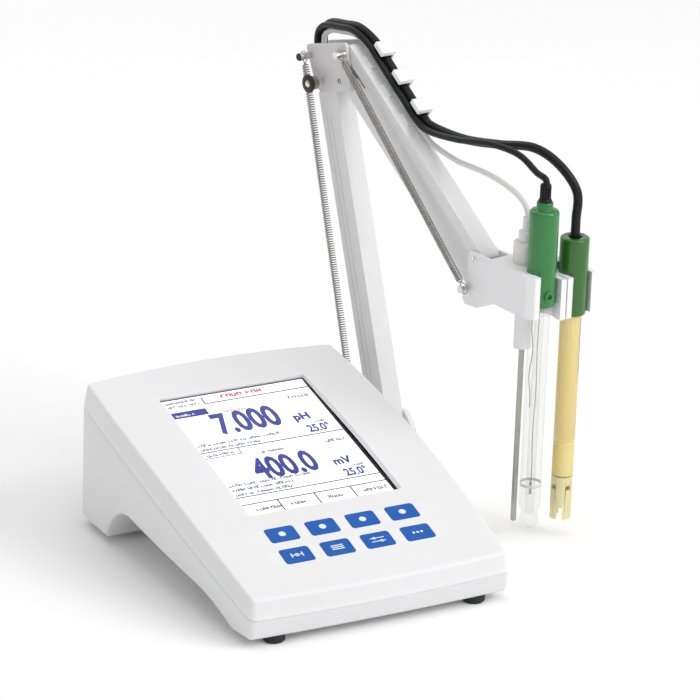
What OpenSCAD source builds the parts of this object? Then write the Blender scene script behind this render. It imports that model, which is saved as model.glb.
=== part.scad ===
// Bench pH meter: a wedge-shaped case with a display and eight keys, and beside it a swivelling
// two-part spring arm that carries a pH, a conductivity and a temperature probe.
// X is to the right, Y to the back and Z up. The origin is on the table, under the middle of the case.
// Places on the arm are given as s (from the swivel post towards the probes), w (across the arm,
// away from the case) and z (up). Places on the sloped top are given in the deck's own frame.

/* [Case] */
// Width of the case over its seam
case_w = 163; // [156:0.5:168]
// Length of the case from front to back
case_l = 231; // [224:1:244]
// Slope of the top deck, in degrees
deck_tilt = 15.67; // [15:0.1:16.4]
// Height of the underside of the case over the table
foot_h = 5; // [4:0.5:6]
// Thickness of the case walls
wall = 2.4; // [2:0.1:3]

/* [Display and keys] */
// Width of the display opening
lcd_w = 90; // [82:1:96]
// Length of the display opening along the deck
lcd_l = 121; // [112:1:123]
// Width of a key
key_w = 17.2; // [14:0.2:19]
// Length of a key along the deck
key_l = 12.2; // [10:0.2:13]
// Distance between the key columns
key_pitch_x = 24.15; // [22:0.05:26]
// Distance between the two key rows
key_pitch_y = 18.7; // [17:0.1:20]
// How far a key goes down
key_travel = 0.5; // [0.3:0.1:0.6]

/* [Swivel] */
// Place of the swivel post, to the right of the middle of the case
pin_x = 105.3; // [102:0.1:110]
// Place of the swivel post, behind the middle of the case
pin_y = 75; // [70:1:80]
// Turn of the arm to the right of straight ahead, in degrees
arm_turn = 9; // [6:1:20]
// Diameter of the swivel post
post_d = 12; // [10:1:14]

/* [Arm] */
// Length of the lower arm between its pivots
lower_len = 204; // [190:1:215]
// Backward lean of the lower arm, in degrees
lower_lean = 14.1; // [10:0.1:18]
// Length of the upper arm between its pivots
upper_len = 152; // [140:1:160]
// Slope of the upper arm below level, in degrees
upper_drop = 38; // [35:1:39]
// Width of both arms
arm_w = 12; // [12:0.5:13]
// Downward tilt of the electrode head, in degrees
head_tilt = 4; // [2:0.5:6]

/* [Probes] */
// Diameter of the two green caps
cap_d = 16.4; // [15.6:0.1:16.6]
// Diameter of the glass and the epoxy probe bodies
probe_d = 12; // [11:0.5:12.5]
// Length of the pH probe below its cap
ph_len = 133.1; // [120:0.1:140]
// Diameter of the temperature rod
rod_d = 3.2; // [2.4:0.1:4]

/* [Hidden] */
$fn = 48;
fine = 720;
very_fine = 1440;
play = 0.05;

half_l = case_l / 2;
side_bulge = 3.7;
front_bulge = 2.5;
rear_bulge = 6.5;
rear_slope = 0.127;
crown_r = 1485;
crown_top = 4.3;
deck_y = -4.55;
deck_z = 57.6;
seam_z = 49.34;
seam_r = 2670;
seam_tilt = 14.95;
seam_gap = 0.25;
tunnel_r = 36.1;
tunnel_y = 36;
tunnel_z = -9;
tunnel_top = 27.1;
screw_spots = [[-62, -96], [62, -96], [-60, 88.5], [30, 88.5]];

lcd_x = 0;
lcd_y = 17.2;
window_top = 1.3;
window_t = 1;
frame_top = -0.6;
frame_t = 2.4;
key_x = 0;
key_y = -63.8;
key_gap = 0.15;
key_proud = 0.25;
board_t = 1.6;
socket_z = 42;

plate_t = 2.5;
plate_z = foot_h - plate_t;
turret_top = 26;
cheek_in = arm_w / 2 + 0.2;
pin_r = 2;
link_pin_r = 1.25;
arm_wall = 1.5;

// pivots of the arm, as [s, z]
shoulder = [-4.6, 36];
elbow = shoulder + lower_len * [-sin(lower_lean), cos(lower_lean)];
lower_link_off = 6.2;
lower_link_at = -lower_link_off * [cos(lower_lean), sin(lower_lean)];
upper_pivot = elbow + [21.5, 20];
upper_link_at = [-5.1, -17];
head_pivot = upper_pivot + upper_len * [cos(upper_drop), -sin(upper_drop)];
back_post = elbow + [-11.7, 13];
base_post = [-17.5, 29];
lower_spring_w = 12.8;
upper_spring_w = 11.5;
spring_r = 2.2;

// places on the electrode head, forward of and above its pivot
ph_a = 41.5;
ph_w = 5.8;
cond_w = 28.3;
temp_a = 25.4;
temp_w = 7.8;
head_top = 4;
head_low = -20;
head_front = 45.5;
head_near = -8.2;
head_far = 39.6;
clip_top = 0;
clip_low = -23.5;
clip_front = 50.6;
clip_open = 14.4;

// ---------- helpers ----------

// radius of the arc that rises by sag over half a chord
function arc_r(half, sag) = (half * half + sag * sag) / (2 * sag);

// height of the crowned deck in the deck's frame, at a place y along it
function crown(y) = crown_top - y * y / (2 * crown_r);

// a point of the arm in the object's frame
function arm_pt(s, w, z) = [
    pin_x + s * sin(arm_turn) + w * cos(arm_turn),
    pin_y - s * cos(arm_turn) + w * sin(arm_turn),
    z
];

// a point along the lower arm: k up from the shoulder, d in front of the pivot line
function lower_pt(k, d, w) = let (
    p = shoulder + k * [-sin(lower_lean), cos(lower_lean)] + d * [cos(lower_lean), sin(lower_lean)]
) arm_pt(p[0], w, p[1]);

// a point along the upper arm: k down from its pivot, d above the pivot line
function upper_pt(k, d, w) = let (
    p = upper_pivot + k * [cos(upper_drop), -sin(upper_drop)] + d * [sin(upper_drop), cos(upper_drop)]
) arm_pt(p[0], w, p[1]);

// a point of the electrode head: a forward of its pivot, c above it
function head_pt(a, w, c) = let (
    p = head_pivot + a * [cos(head_tilt), -sin(head_tilt)] + c * [sin(head_tilt), cos(head_tilt)]
) arm_pt(p[0], w, p[1]);

function unit(v) = v / norm(v);

// the arc that rounds the corner q between its neighbours p and t
function corner(p, q, t, r, n = 5) = let (
    u = unit(p - q),
    v = unit(t - q),
    half = acos(u * v) / 2,
    c = q + unit(u + v) * r / sin(half),
    a = q + u * r / tan(half) - c,
    b = q + v * r / tan(half) - c
) [for (i = [0 : n]) c + r * unit(a + (b - a) * i / n)];

// an outline with every corner rounded by r
function rounded(pts, r) = let (n = len(pts)) [
    for (i = [0 : n - 1]) each corner(pts[(i + n - 1) % n], pts[i], pts[(i + 1) % n], r)
];

module on_deck() translate([0, deck_y, deck_z]) rotate([deck_tilt, 0, 0]) children();

module arm_frame() translate([pin_x, pin_y, 0]) rotate([0, 0, arm_turn - 90]) children();

module lower_frame() arm_frame() translate([shoulder[0], 0, shoulder[1]]) rotate([0, -lower_lean, 0]) children();

module upper_frame() arm_frame() translate([upper_pivot[0], 0, upper_pivot[1]]) rotate([0, upper_drop, 0]) children();

module head_frame() arm_frame() translate([head_pivot[0], 0, head_pivot[1]]) rotate([0, head_tilt, 0]) children();

// an outline in the arm's plane, made solid from w0 to w1
module slab(w0, w1) translate([0, w1, 0]) rotate([90, 0, 0]) linear_extrude(height = w1 - w0) children();

// a round pin across the arm at [s, z], from w0 to w1
module cross_pin(at, r, w0, w1) translate([at[0], w0, at[1]]) rotate([-90, 0, 0]) cylinder(r = r, h = w1 - w0);

// a box centred in x and y, standing on z0
module block(x, y, z0, h) translate([-x / 2, -y / 2, z0]) cube([x, y, h]);

// a round tube of radius r along a path of points
module sweep(path, r, sides = 8) {
    n = len(path);
    along = [for (i = [0 : n - 1]) unit(path[min(i + 1, n - 1)] - path[max(i - 1, 0)])];
    side = [for (t = along) unit(cross(t, abs(t[2]) > 0.95 ? [0, 1, 0] : [0, 0, 1]))];
    frames = [for (i = [0 : n - 1]) [side[i], cross(side[i], along[i])]];
    points = [
        for (i = [0 : n - 1]) for (j = [0 : sides - 1])
            path[i] + r * (cos(360 * j / sides) * frames[i][0] + sin(360 * j / sides) * frames[i][1])
    ];
    walls = [
        for (i = [0 : n - 2]) for (j = [0 : sides - 1]) let (k = (j + 1) % sides)
            [i * sides + j, i * sides + k, (i + 1) * sides + k, (i + 1) * sides + j]
    ];
    first = [for (j = [0 : sides - 1]) sides - 1 - j];
    last = [for (j = [0 : sides - 1]) (n - 1) * sides + j];
    polyhedron(points, concat([first], walls, [last]));
}

// a smooth curve through the given points, with steps pieces between two of them
function spline(p, steps = 4) = let (n = len(p)) concat([
    for (i = [0 : n - 2]) for (k = [0 : steps - 1]) let (
        a = p[max(i - 1, 0)], b = p[i], c = p[i + 1], d = p[min(i + 2, n - 1)],
        t = k / steps
    ) 0.5 * (2 * b + t * (c - a) + t * t * (2 * a - 5 * b + 4 * c - d) + t * t * t * (3 * b - a - 3 * c + d))
], [p[n - 1]]);

// ---------- case ----------

module plan_outline(inset) {
    side_r = arc_r(half_l, side_bulge);
    front_r = arc_r(case_w / 2, front_bulge);
    rear_r = arc_r(case_w / 2, rear_bulge);
    intersection() {
        translate([case_w / 2 - side_r, 0]) circle(side_r - inset, $fn = fine);
        translate([side_r - case_w / 2, 0]) circle(side_r - inset, $fn = fine);
        translate([0, front_r - half_l]) circle(front_r - inset, $fn = fine);
        translate([0, half_l - rear_r]) circle(rear_r - inset, $fn = fine);
    }
}

module tunnel(inset) {
    slope_r = 130;
    translate([tunnel_y, tunnel_z]) circle(tunnel_r + inset, $fn = 180);
    polygon([[-50, -20], [-50, 17 + inset], [tunnel_y, tunnel_top + inset], [tunnel_y, -20]]);
    intersection() {
        translate([-32.6, -111.8]) circle(slope_r + inset, $fn = 360);
        translate([-130, -30]) square([80.01, 60]);
    }
}

module side_outline(inset) {
    front = -half_l + inset;
    rear = half_l - inset;
    high = 130;
    difference() {
        intersection() {
            translate([
                deck_y - sin(deck_tilt) * (crown_top - crown_r),
                deck_z + cos(deck_tilt) * (crown_top - crown_r)
            ]) circle(crown_r - inset, $fn = very_fine);
            polygon([
                [front + 2.7, foot_h + inset], [front, 15.7], [front + 1.6, 30], [front + 1.6, high],
                [rear - rear_slope * high, high], [rear - rear_slope * foot_h, foot_h + inset]
            ]);
        }
        tunnel(inset);
    }
}

module across(w) rotate([90, 0, 90]) linear_extrude(height = w, center = true) children();

module case_solid(inset) intersection() {
    linear_extrude(height = 120) plan_outline(inset);
    across(case_w + 20) side_outline(inset);
}

module under_seam(drop) across(case_w + 30)
    translate([seam_r * sin(seam_tilt), seam_z - drop - seam_r * cos(seam_tilt)]) circle(seam_r, $fn = very_fine);

module case_shell() difference() {
    case_solid(0);
    case_solid(wall);
}

module key_place(i) {
    row = floor(i / 4);
    y = key_y - key_pitch_y * row;
    on_deck() translate([key_x + key_pitch_x * (i % 4 - 1.5), y, crown(y)]) children();
}

module upper_case() color("#eeeff0") difference() {
    union() {
        difference() {
            case_shell();
            under_seam(-seam_gap / 2);
        }
        // bosses that the case screws run into
        difference() {
            intersection() {
                for (p = screw_spots) translate([p[0], p[1], 0]) cylinder(d = 7, h = 120);
                case_solid(wall / 2);
            }
            under_seam(-seam_gap / 2);
        }
    }
    on_deck() translate([lcd_x, lcd_y, -12]) block(lcd_w, lcd_l, 0, 40);
    for (i = [0 : 7]) key_place(i) block(key_w + 2 * key_gap, key_l + 2 * key_gap, -8, 20);
    for (p = screw_spots) translate([p[0], p[1], -1]) cylinder(r = 1.5 + play, h = seam_height(p[1]) + 7);
}

// height of the seam at a place y along the case
function seam_height(y) = seam_z + y * tan(seam_tilt) - y * y / (2 * seam_r);

module rear_holes() {
    rear_hole(ph_socket_x, 6.7);
    rear_hole(reference_x, 3.2);
    rear_hole(temperature_x, 5.2);
    rear_hole(conductivity_x, 7.7);
    rear_hole(power_x, 5.2);
    translate([usb_x, half_l + 2, socket_z]) cube([12.4, 40, 11.4], center = true);
    translate([serial_x, half_l + 2, socket_z]) cube([31.4, 40, 13], center = true);
    translate([switch_x, half_l + 2, switch_z]) cube([13.4, 40, 20.4], center = true);
}

ph_socket_x = -58;
reference_x = -42;
temperature_x = -28;
conductivity_x = -10;
usb_x = 9;
serial_x = 34;
power_x = 60;
switch_x = 60;
switch_z = 60;

module rear_hole(x, r) translate([x, half_l - 18, socket_z]) rotate([-90, 0, 0]) cylinder(r = r, h = 40);

module lower_case() color("#e9eaeb") difference() {
    union() {
        intersection() {
            case_shell();
            under_seam(seam_gap / 2);
        }
        // bosses that carry the case screws
        intersection() {
            for (p = screw_spots) translate([p[0], p[1], 0]) cylinder(d = 8, h = 120);
            case_solid(wall / 2);
            under_seam(seam_gap / 2);
        }
    }
    for (p = screw_spots) translate([p[0], p[1], -1]) {
        cylinder(r = 1.7, h = 120);
        cylinder(r = 3.2, h = foot_h + 4.6);
    }
    rear_holes();
    for (p = plate_screw_spots) translate([p[0], p[1], 0]) cylinder(r = 2 + play, h = foot_h + 8);
}

plate_screw_spots = [[44, 94], [68, 94], [68, 80]];

module case_screws() color("#b9bcc0") for (p = screw_spots) translate([p[0], p[1], foot_h + 1]) {
    cylinder(r = 1.5, h = seam_height(p[1]) + 4 - foot_h);
    difference() {
        cylinder(r = 3, h = 2.4);
        translate([0, 0, -0.1]) block(4.4, 0.9, 0, 1.2);
        translate([0, 0, -0.1]) block(0.9, 4.4, 0, 1.2);
    }
}

module foot(x, y, d, h) translate([x, y, 0]) rotate_extrude() polygon([
    [0, 0], [d / 2 - 1, 0], [d / 2, 1], [d / 2, h], [0, h]
]);

module feet() color("#26282b") {
    foot(-60, -104, 12, foot_h);
    foot(60, -104, 12, foot_h);
    foot(-64, 100, 12, foot_h);
    foot(0, 0, 12, foot_h);
}

// ---------- display and keypad ----------

module display_window() color("#dfe8ee", 0.4) on_deck() translate([lcd_x, lcd_y, 0])
    block(lcd_w - 0.4, lcd_l - 0.4, window_top - window_t, window_t);

module display_frame() color("#1b1c1e") on_deck() translate([lcd_x, lcd_y, frame_top - frame_t]) difference() {
    union() {
        block(lcd_w + 8, lcd_l + 4, 0, frame_t);
        block(lcd_w - 0.4, lcd_l - 0.4, 0, window_top - window_t - frame_top + frame_t);
    }
    translate([0, 0, -1]) block(lcd_w - 2, lcd_l - 2, 0, frame_t + 6);
}

module display_panel() color("#dfe6e8") on_deck() translate([lcd_x, lcd_y, frame_top - frame_t - 6]) {
    rise = window_top - window_t - frame_top + frame_t - 0.1;
    block(lcd_w + 8, lcd_l + 4, 0, 6);
    translate([0, 0, 6]) block(lcd_w - 2.4, lcd_l - 2.4, 0, rise);
}

flange_low = -wall - 1.1;
flange_t = 1;
mat_gap = key_travel + 0.2;

module key(i) color("#1d63ad") key_place(i) {
    block(key_w, key_l, flange_low - flange_t, key_proud - flange_low + flange_t);
    block(key_w + 2.4, key_l + 2.4, flange_low - flange_t, flange_t);
}

keypad_y = key_y - key_pitch_y / 2;
keypad_w = 4 * key_pitch_x + 2;
keypad_l = 2 * key_pitch_y + 1;
mat_top = crown(key_y - key_pitch_y) + flange_low - flange_t - mat_gap - 1.6;

module keypad_mat() color("#c9ccd0") {
    on_deck() translate([key_x, keypad_y, mat_top - 1.2]) block(keypad_w, keypad_l, 0, 1.2);
    for (i = [0 : 7]) {
        y = key_y - key_pitch_y * floor(i / 4);
        rise = crown(y) + flange_low - flange_t - mat_gap - mat_top;
        on_deck() translate([key_x + key_pitch_x * (i % 4 - 1.5), y, mat_top]) cylinder(r = 4, h = rise);
    }
}

module keypad_board() color("#2f6b45") on_deck() translate([key_x, keypad_y, mat_top - 1.2 - board_t])
    block(keypad_w, keypad_l, 0, board_t);

// ---------- boards and sockets ----------

main_z = 33;

module main_board() color("#2f6b45") translate([0, 32, main_z]) {
    block(124, 96, 0, board_t);
    translate([-30, 10, board_t]) block(14, 14, 0, 1.6);
    translate([8, -16, board_t]) block(20, 20, 0, 2);
    translate([36, 12, board_t]) block(10, 22, 0, 2.2);
}

module clock_battery() color("#c7c9cc") translate([-40, 24, main_z + board_t]) cylinder(d = 20, h = 3.2);

input_y = 93;

module input_board() color("#2f6b45") translate([0, input_y, 0]) translate([-66, 0, main_z + board_t + 0.5])
    cube([110, board_t, 24]);

// a round socket with its flange outside the rear wall and its barrel through it
module round_socket(x, r, nose, bore, depth) translate([x, input_y + board_t, socket_z]) rotate([-90, 0, 0]) difference() {
    union() {
        cylinder(r = r, h = 22 + nose);
        cylinder(r = r + 1.5, h = 10);
    }
    translate([0, 0, 22 + nose - depth]) cylinder(r = bore, h = depth + 1);
}

module ph_socket() color("#c3c6ca") difference() {
    union() {
        round_socket(ph_socket_x, 6.4, 3, 4.1, 10);
        translate([ph_socket_x, input_y + board_t + 23, socket_z]) rotate([0, 90, 0]) cylinder(r = 0.9, h = 14.6, center = true);
    }
    translate([ph_socket_x, input_y + board_t + 15, socket_z]) rotate([-90, 0, 0]) cylinder(r = 4.1, h = 20);
}

module reference_jack() color("#c9a24a") round_socket(reference_x, 3, 1, 1.1, 12);

module temperature_socket() color("#2b2d30") round_socket(temperature_x, 5, 0, 2.2, 8);

module conductivity_socket() color("#2b2d30") difference() {
    round_socket(conductivity_x, 7.5, 0, 5.6, 5);
    for (a = [-120 : 40 : 120]) translate([
        conductivity_x + 3.6 * sin(a), input_y + board_t + 12, socket_z + 3.6 * cos(a)
    ]) rotate([-90, 0, 0]) cylinder(r = 0.6, h = 20);
}

module usb_socket() color("#c3c6ca") translate([usb_x, input_y + board_t, socket_z]) difference() {
    translate([-6, 0, -5.5]) cube([12, 19.5, 11]);
    translate([-4.6, 12, -4.2]) cube([9.2, 10, 8.4]);
}

module serial_socket() color("#c3c6ca") translate([serial_x, input_y + board_t, socket_z]) difference() {
    translate([-15.5, 0, -6.3]) cube([31, 19, 12.6]);
    translate([-9, 14, -4.2]) cube([18, 10, 8.4]);
    for (i = [0 : 8]) translate([(i < 5 ? i - 2 : i - 6.5) * 2.76, 10, i < 5 ? 1.4 : -1.4])
        rotate([-90, 0, 0]) cylinder(r = 0.5, h = 10);
}

module power_jack() color("#2b2d30") round_socket(power_x, 5, -1, 2.75, 10);

rocker_y = half_l - 13.5;
rocker_r = 8;

module switch_frame() color("#222427") difference() {
    translate([switch_x - 6.5, half_l - 24, switch_z - 10]) cube([13, 18.2, 20]);
    translate([switch_x, rocker_y, switch_z]) rotate([0, 90, 0]) cylinder(r = rocker_r + 0.3, h = 9, center = true);
    translate([switch_x, rocker_y + 10, switch_z]) cube([9, 20, 2 * rocker_r + 0.6], center = true);
}

module power_switch() color("#33363a") translate([switch_x, rocker_y, switch_z]) difference() {
    rotate([0, 90, 0]) cylinder(r = rocker_r, h = 8.4, center = true);
    for (k = [-1, 1]) rotate([k * 8, 0, 0]) translate([-6, 6.6, k > 0 ? -12 : 0]) cube([12, 10, 12]);
}

// ---------- base plate and swivel ----------

module base_plate() color("#c9ccce") translate([0, 0, plate_z]) difference() {
    union() {
        linear_extrude(height = plate_t) polygon(rounded([
            [34, 72], [34, 102], [pin_x, pin_y + 30], [pin_x + 14, pin_y + 24], [pin_x + 14, pin_y - 24],
            [pin_x, pin_y - 29], [86, 58], [84, 72]
        ], 3));
        translate([pin_x, pin_y, 0]) cylinder(r = 30, h = plate_t, $fn = 120);
    }
    translate([pin_x, pin_y, -1]) cylinder(r = 4, h = plate_t + 2);
    for (p = plate_screw_spots) translate([p[0], p[1], -1]) cylinder(r = 2.2, h = plate_t + 2);
}

module base_plate_screws() color("#aeb2b6") for (p = plate_screw_spots) translate([p[0], p[1], 0.6]) {
    cylinder(r = 2, h = plate_z + plate_t + 5);
    cylinder(r = 3.8, h = plate_z - 0.6);
}

module base_plate_feet() color("#26282b") {
    for (a = [-75, 15, 75]) foot(pin_x + 23 * cos(a), pin_y + 23 * sin(a), 10, plate_z);
    foot(54, 86, 10, plate_z);
}

module swivel_post() color("#b4b8bc") translate([pin_x, pin_y, 0]) {
    translate([0, 0, plate_z]) cylinder(r = 4, h = plate_t);
    translate([0, 0, foot_h]) cylinder(d = post_d, h = 16);
}

turret_r = 21;
cheek_t = 3;

module swivel_base() color("#f1f2f2") arm_frame() difference() {
    union() {
        translate([0, 0, foot_h + 0.3]) rotate_extrude($fn = 120) polygon([
            [0, 0], [turret_r + 4, 0], [turret_r + 4, 4], [turret_r, 7],
            [turret_r, turret_top - foot_h - 2.3], [turret_r - 2, turret_top - foot_h - 0.3],
            [0, turret_top - foot_h - 0.3]
        ]);
        for (k = [-1, 1]) slab(k > 0 ? cheek_in : -cheek_in - cheek_t, k > 0 ? cheek_in + cheek_t : -cheek_in)
            polygon(rounded([[-21.5, 14], [-21.5, 32], [-11, 46.5], [3, 46.5], [10, 38], [10, 14]], 4));
    }
    translate([0, 0, -1]) cylinder(r = post_d / 2 + play, h = foot_h + 17.5);
    cross_pin(shoulder, pin_r, -20, 20);
    cross_pin(shoulder + lower_link_at, link_pin_r, -20, 20);
    cross_pin(base_post, pin_r, -20, 20);
}

// ---------- lower arm ----------

module shoulder_pins() color("#b9bdc1") arm_frame() {
    out = cheek_in + cheek_t;
    cross_pin(shoulder, pin_r, -out - 0.6, out + 0.6);
    for (k = [-1, 1]) {
        cross_pin(shoulder, 3.2, k > 0 ? out : -out - 1.6, k > 0 ? out + 1.6 : -out);
        cross_pin(base_post, pin_r, k > 0 ? cheek_in : -15.5, k > 0 ? 15.5 : -cheek_in);
    }
    cross_pin(shoulder + lower_link_at, link_pin_r, -out, out);
}

module lower_profile() {
    r = 8.8;
    translate([-0.5 - r, 0]) square([2 * r, lower_len]);
    for (z = [0, lower_len]) translate([-0.5, z]) circle(r);
}

module lower_arm() color("#eceded") lower_frame() difference() {
    union() {
        difference() {
            slab(-arm_w / 2, arm_w / 2) lower_profile();
            // the channel is open at the back
            slab(-arm_w / 2 + arm_wall, arm_w / 2 - arm_wall) translate([-20, -20]) square([26.7, lower_len + 40]);
            // shallow grooves along both sides
            for (k = [-1, 1]) for (x = [-4.6, -0.6]) translate([x, k * arm_w / 2, lower_len / 2])
                cube([0.5, 0.5, lower_len - 40], center = true);
            // room for the pins of the second link
            for (z = [-13, lower_len - 6.5]) translate([-20, -arm_w, z]) cube([16.6, 2 * arm_w, 17]);
        }
        for (z = [0, lower_len]) translate([0, -arm_w / 2 + 0.5, z]) rotate([-90, 0, 0]) cylinder(r = 3.1, h = arm_w - 1);
    }
    for (z = [0, lower_len]) translate([0, -arm_w, z]) rotate([-90, 0, 0]) cylinder(r = pin_r + play, h = 2 * arm_w);
}

module lower_link() color("#d9dadb") lower_frame() translate([-lower_link_off, 0, 0]) difference() {
    union() {
        translate([-1.8, -3.2, 0]) cube([3.6, 6.4, lower_len]);
        for (z = [0, lower_len]) translate([0, -3.2, z]) rotate([-90, 0, 0]) cylinder(r = 2.8, h = 6.4);
    }
    translate([0, -6, 0]) rotate([-90, 0, 0]) cylinder(r = link_pin_r + play, h = 12);
    translate([0, -6, lower_len]) rotate([-90, 0, 0]) cylinder(r = link_pin_r + 0.3, h = 12);
}

// ---------- elbow ----------

plate_out = cheek_in + 2;

module elbow_bracket() color("#dfe0e1") arm_frame() difference() {
    union() {
        for (k = [-1, 1]) slab(k > 0 ? cheek_in : -plate_out, k > 0 ? plate_out : -cheek_in) polygon(rounded([
            elbow + [-16.5, 18.6], elbow + [22.6, 26.6], elbow + [26.6, -0.9], elbow + [-3.2, -7.1], elbow + [-9.6, 2]
        ], 2.6));
        // bar that joins the two plates
        slab(-cheek_in - 0.5, cheek_in + 0.5) polygon(rounded([
            elbow + [5.8, 12.6], elbow + [5.8, 19], elbow + [12, 20.4], elbow + [12, 14]
        ], 1));
    }
    cross_pin(elbow, pin_r, -20, 20);
    cross_pin(elbow + lower_link_at, link_pin_r, -20, 20);
    cross_pin(upper_pivot, pin_r, -20, 20);
    cross_pin(upper_pivot + upper_link_at, 1.5, -20, 20);
    cross_pin(back_post, pin_r, -20, 20);
}

// a slotted screw end on the near side, w0 outwards
module slotted_end(at, r, w0, w1) difference() {
    cross_pin(at, r, w0, w1);
    translate([at[0], w0, at[1]]) rotate([0, 20, 0]) cube([0.8, 1, 3 * r], center = true);
}

module elbow_pins() color("#b9bdc1") arm_frame() {
    cross_pin(elbow, pin_r, -16.5, plate_out + 2.5);
    cross_pin(elbow, 3.6, plate_out, plate_out + 2);
    cross_pin(elbow + lower_link_at, link_pin_r, -plate_out, plate_out);
    cross_pin(upper_pivot, pin_r, -14.6, 14.6);
    slotted_end(upper_pivot + upper_link_at, 1.5, -plate_out - 0.4, plate_out + 0.4);
    for (k = [-1, 1]) {
        cross_pin(upper_pivot, 2.2, k > 0 ? 14 : -15, k > 0 ? 15 : -14);
        cross_pin(back_post, pin_r, k > 0 ? cheek_in : -15.6, k > 0 ? 15.6 : -cheek_in);
        cross_pin(back_post, 2.3, k > 0 ? 15 : -16.4, k > 0 ? 16.4 : -15);
    }
}

module tension_knob() color("#3a3b38") arm_frame() difference() {
    union() {
        cross_pin(elbow, 4, -17.4, -plate_out - 0.15);
        cross_pin(elbow, 5.2, -19.4, -17.2);
    }
    cross_pin(elbow, pin_r + play, -17, 0);
    cross_pin(elbow, 1.2, -20, -18.8);
}

// ---------- upper arm ----------

arm_high = 5.1;
clip_spots = [8, 29, 51];
clip_len = 9;
clip_in = 0.8;
clip_out = 10.6;
clip_rise = 12.6;
clip_roof = 3;

module upper_arm() color("#eceded") upper_frame() difference() {
    low = -2.9;
    high = arm_high;
    union() {
        difference() {
            slab(-arm_w / 2, arm_w / 2) {
                translate([0, low]) square([upper_len, high - low]);
                for (x = [0, upper_len]) translate([x, (low + high) / 2]) circle((high - low) / 2);
            }
            slab(-arm_w / 2 + 1.4, arm_w / 2 - 1.4) translate([-10, low - 1]) square([upper_len + 20, high - low - 0.5]);
        }
        for (x = [0, upper_len]) translate([x, -arm_w / 2 + 0.5, 0]) rotate([-90, 0, 0]) cylinder(r = 2.8, h = arm_w - 1);
    }
    for (x = [0, upper_len]) translate([x, -arm_w, 0]) rotate([-90, 0, 0]) cylinder(r = pin_r + play, h = 2 * arm_w);
}

link_half = arm_w / 2 - 1.7;

module upper_link() color("#e3e4e5") upper_frame() {
    t0 = upper_link_at[0] * cos(upper_drop) - upper_link_at[1] * sin(upper_drop);
    b0 = upper_link_at[0] * sin(upper_drop) + upper_link_at[1] * cos(upper_drop);
    ear_r = 4.9;
    translate([t0, 0, b0]) difference() {
        slab(-link_half, link_half) polygon(concat(
            [for (a = [0 : 15 : 165]) [-ear_r * sin(a), -ear_r * cos(a)]],
            [
                [8, 10.2], [15, 10.2], [19, 15.4], [upper_len - 15, 15.4], [upper_len - 11, 10.2],
                [upper_len - 6, 10.2]
            ],
            [for (a = [15 : 15 : 180]) [upper_len + ear_r * sin(a), ear_r * cos(a)]]
        ));
        slab(-link_half + 1.4, link_half - 1.4) translate([-12, 1.5 - ear_r]) square([upper_len + 24, 30]);
        translate([0, -20, 0]) rotate([-90, 0, 0]) cylinder(r = 1.5 + play, h = 40);
        translate([upper_len, -20, 0]) rotate([-90, 0, 0]) cylinder(r = 1.5 + 0.3, h = 40);
    }
}

// three hooks on the far side of the upper arm that close over the cables
module cable_clips() color("#f2f3f3") upper_frame() for (t = clip_spots) translate([t, 0, arm_high]) {
    translate([0, -1.6, 0]) cube([clip_len, clip_out + 1.6, 1]);
    translate([0, clip_out - 1.4, 0]) cube([clip_len, 1.4, clip_rise]);
    translate([0, clip_in, clip_rise - clip_roof]) cube([clip_len, clip_out - clip_in, clip_roof]);
}

// ---------- electrode head ----------

module head_cheek() polygon(rounded([
    [-5, head_top], [20, head_top], [20, head_low + 0.6], [4, -27], [-7, -28], [-10, -24.6], [-6.2, -14]
], 1.6));

// the block between the fork and the probe clips, open below
module head_block() difference() {
    union() {
        translate([0, 0, head_low]) linear_extrude(height = head_top - head_low) polygon(rounded([
            [12, head_near], [head_front, head_near], [head_front + 4.6, head_near + 3.2], [head_front + 4.6, 6],
            [34, 12], [34, 36], [12, 14]
        ], 1.2));
        // the clips stand lower than the block
        translate([0, 0, clip_low]) linear_extrude(height = clip_top - clip_low) polygon(rounded([
            [28, 6], [33, 2], [clip_front, 6], [clip_front, 28], [clip_front - 2, head_far - 1.6],
            [42, head_far], [33, head_far], [28, 30]
        ], 1.2));
    }
    translate([0, 0, head_low - 1]) linear_extrude(height = head_top - head_low - 2.4) polygon([
        [14.5, -cheek_in], [29, -cheek_in], [29, 30], [14.5, 12]
    ]);
}

module electrode_head() color("#f4f4f5") head_frame() difference() {
    union() {
        head_block();
        for (k = [-1, 1]) slab(k > 0 ? cheek_in : -plate_out, k > 0 ? plate_out : -cheek_in) head_cheek();
        // guide tube of the temperature rod
        translate([temp_a, temp_w, -46]) cylinder(r = 4.8, h = 48);
        // low boss behind the clips
        translate([21, 20, head_top - 1]) cylinder(r = 3, h = 3);
    }
    for (w = [ph_w, cond_w]) {
        translate([ph_a, w, -60]) cylinder(r = cap_d / 2 + 0.1, h = 90, $fn = 96);
        translate([ph_a, w - clip_open / 2, -60]) cube([30, clip_open, 90]);
    }
    // gap between the two inner clip walls
    translate([ph_a, (ph_w + cond_w) / 2 - 0.5, clip_low - 1]) cube([20, 1, 60]);
    translate([temp_a, temp_w, -60]) cylinder(r = rod_d / 2 + 0.2, h = 90);
    cross_pin([0, 0], pin_r, -20, 20);
    rotate([0, -head_tilt, 0]) cross_pin(upper_link_at, 1.5, -20, 20);
}

module head_pins() color("#b9bdc1") arm_frame() {
    slotted_end(head_pivot, pin_r, -plate_out - 0.3, plate_out + 0.3);
    cross_pin(head_pivot + upper_link_at, 1.5, -14.4, 14.4);
    for (k = [-1, 1]) cross_pin(head_pivot + upper_link_at, 2.2, k > 0 ? 13.8 : -14.8, k > 0 ? 14.8 : -13.8);
}

// ---------- probes ----------

ph_low = -15.4;
ph_top = 44;
port_turn = -7;

// places children on the axis of a probe in the head
module on_probe(a, w) head_frame() translate([a, w, 0]) children();

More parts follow.
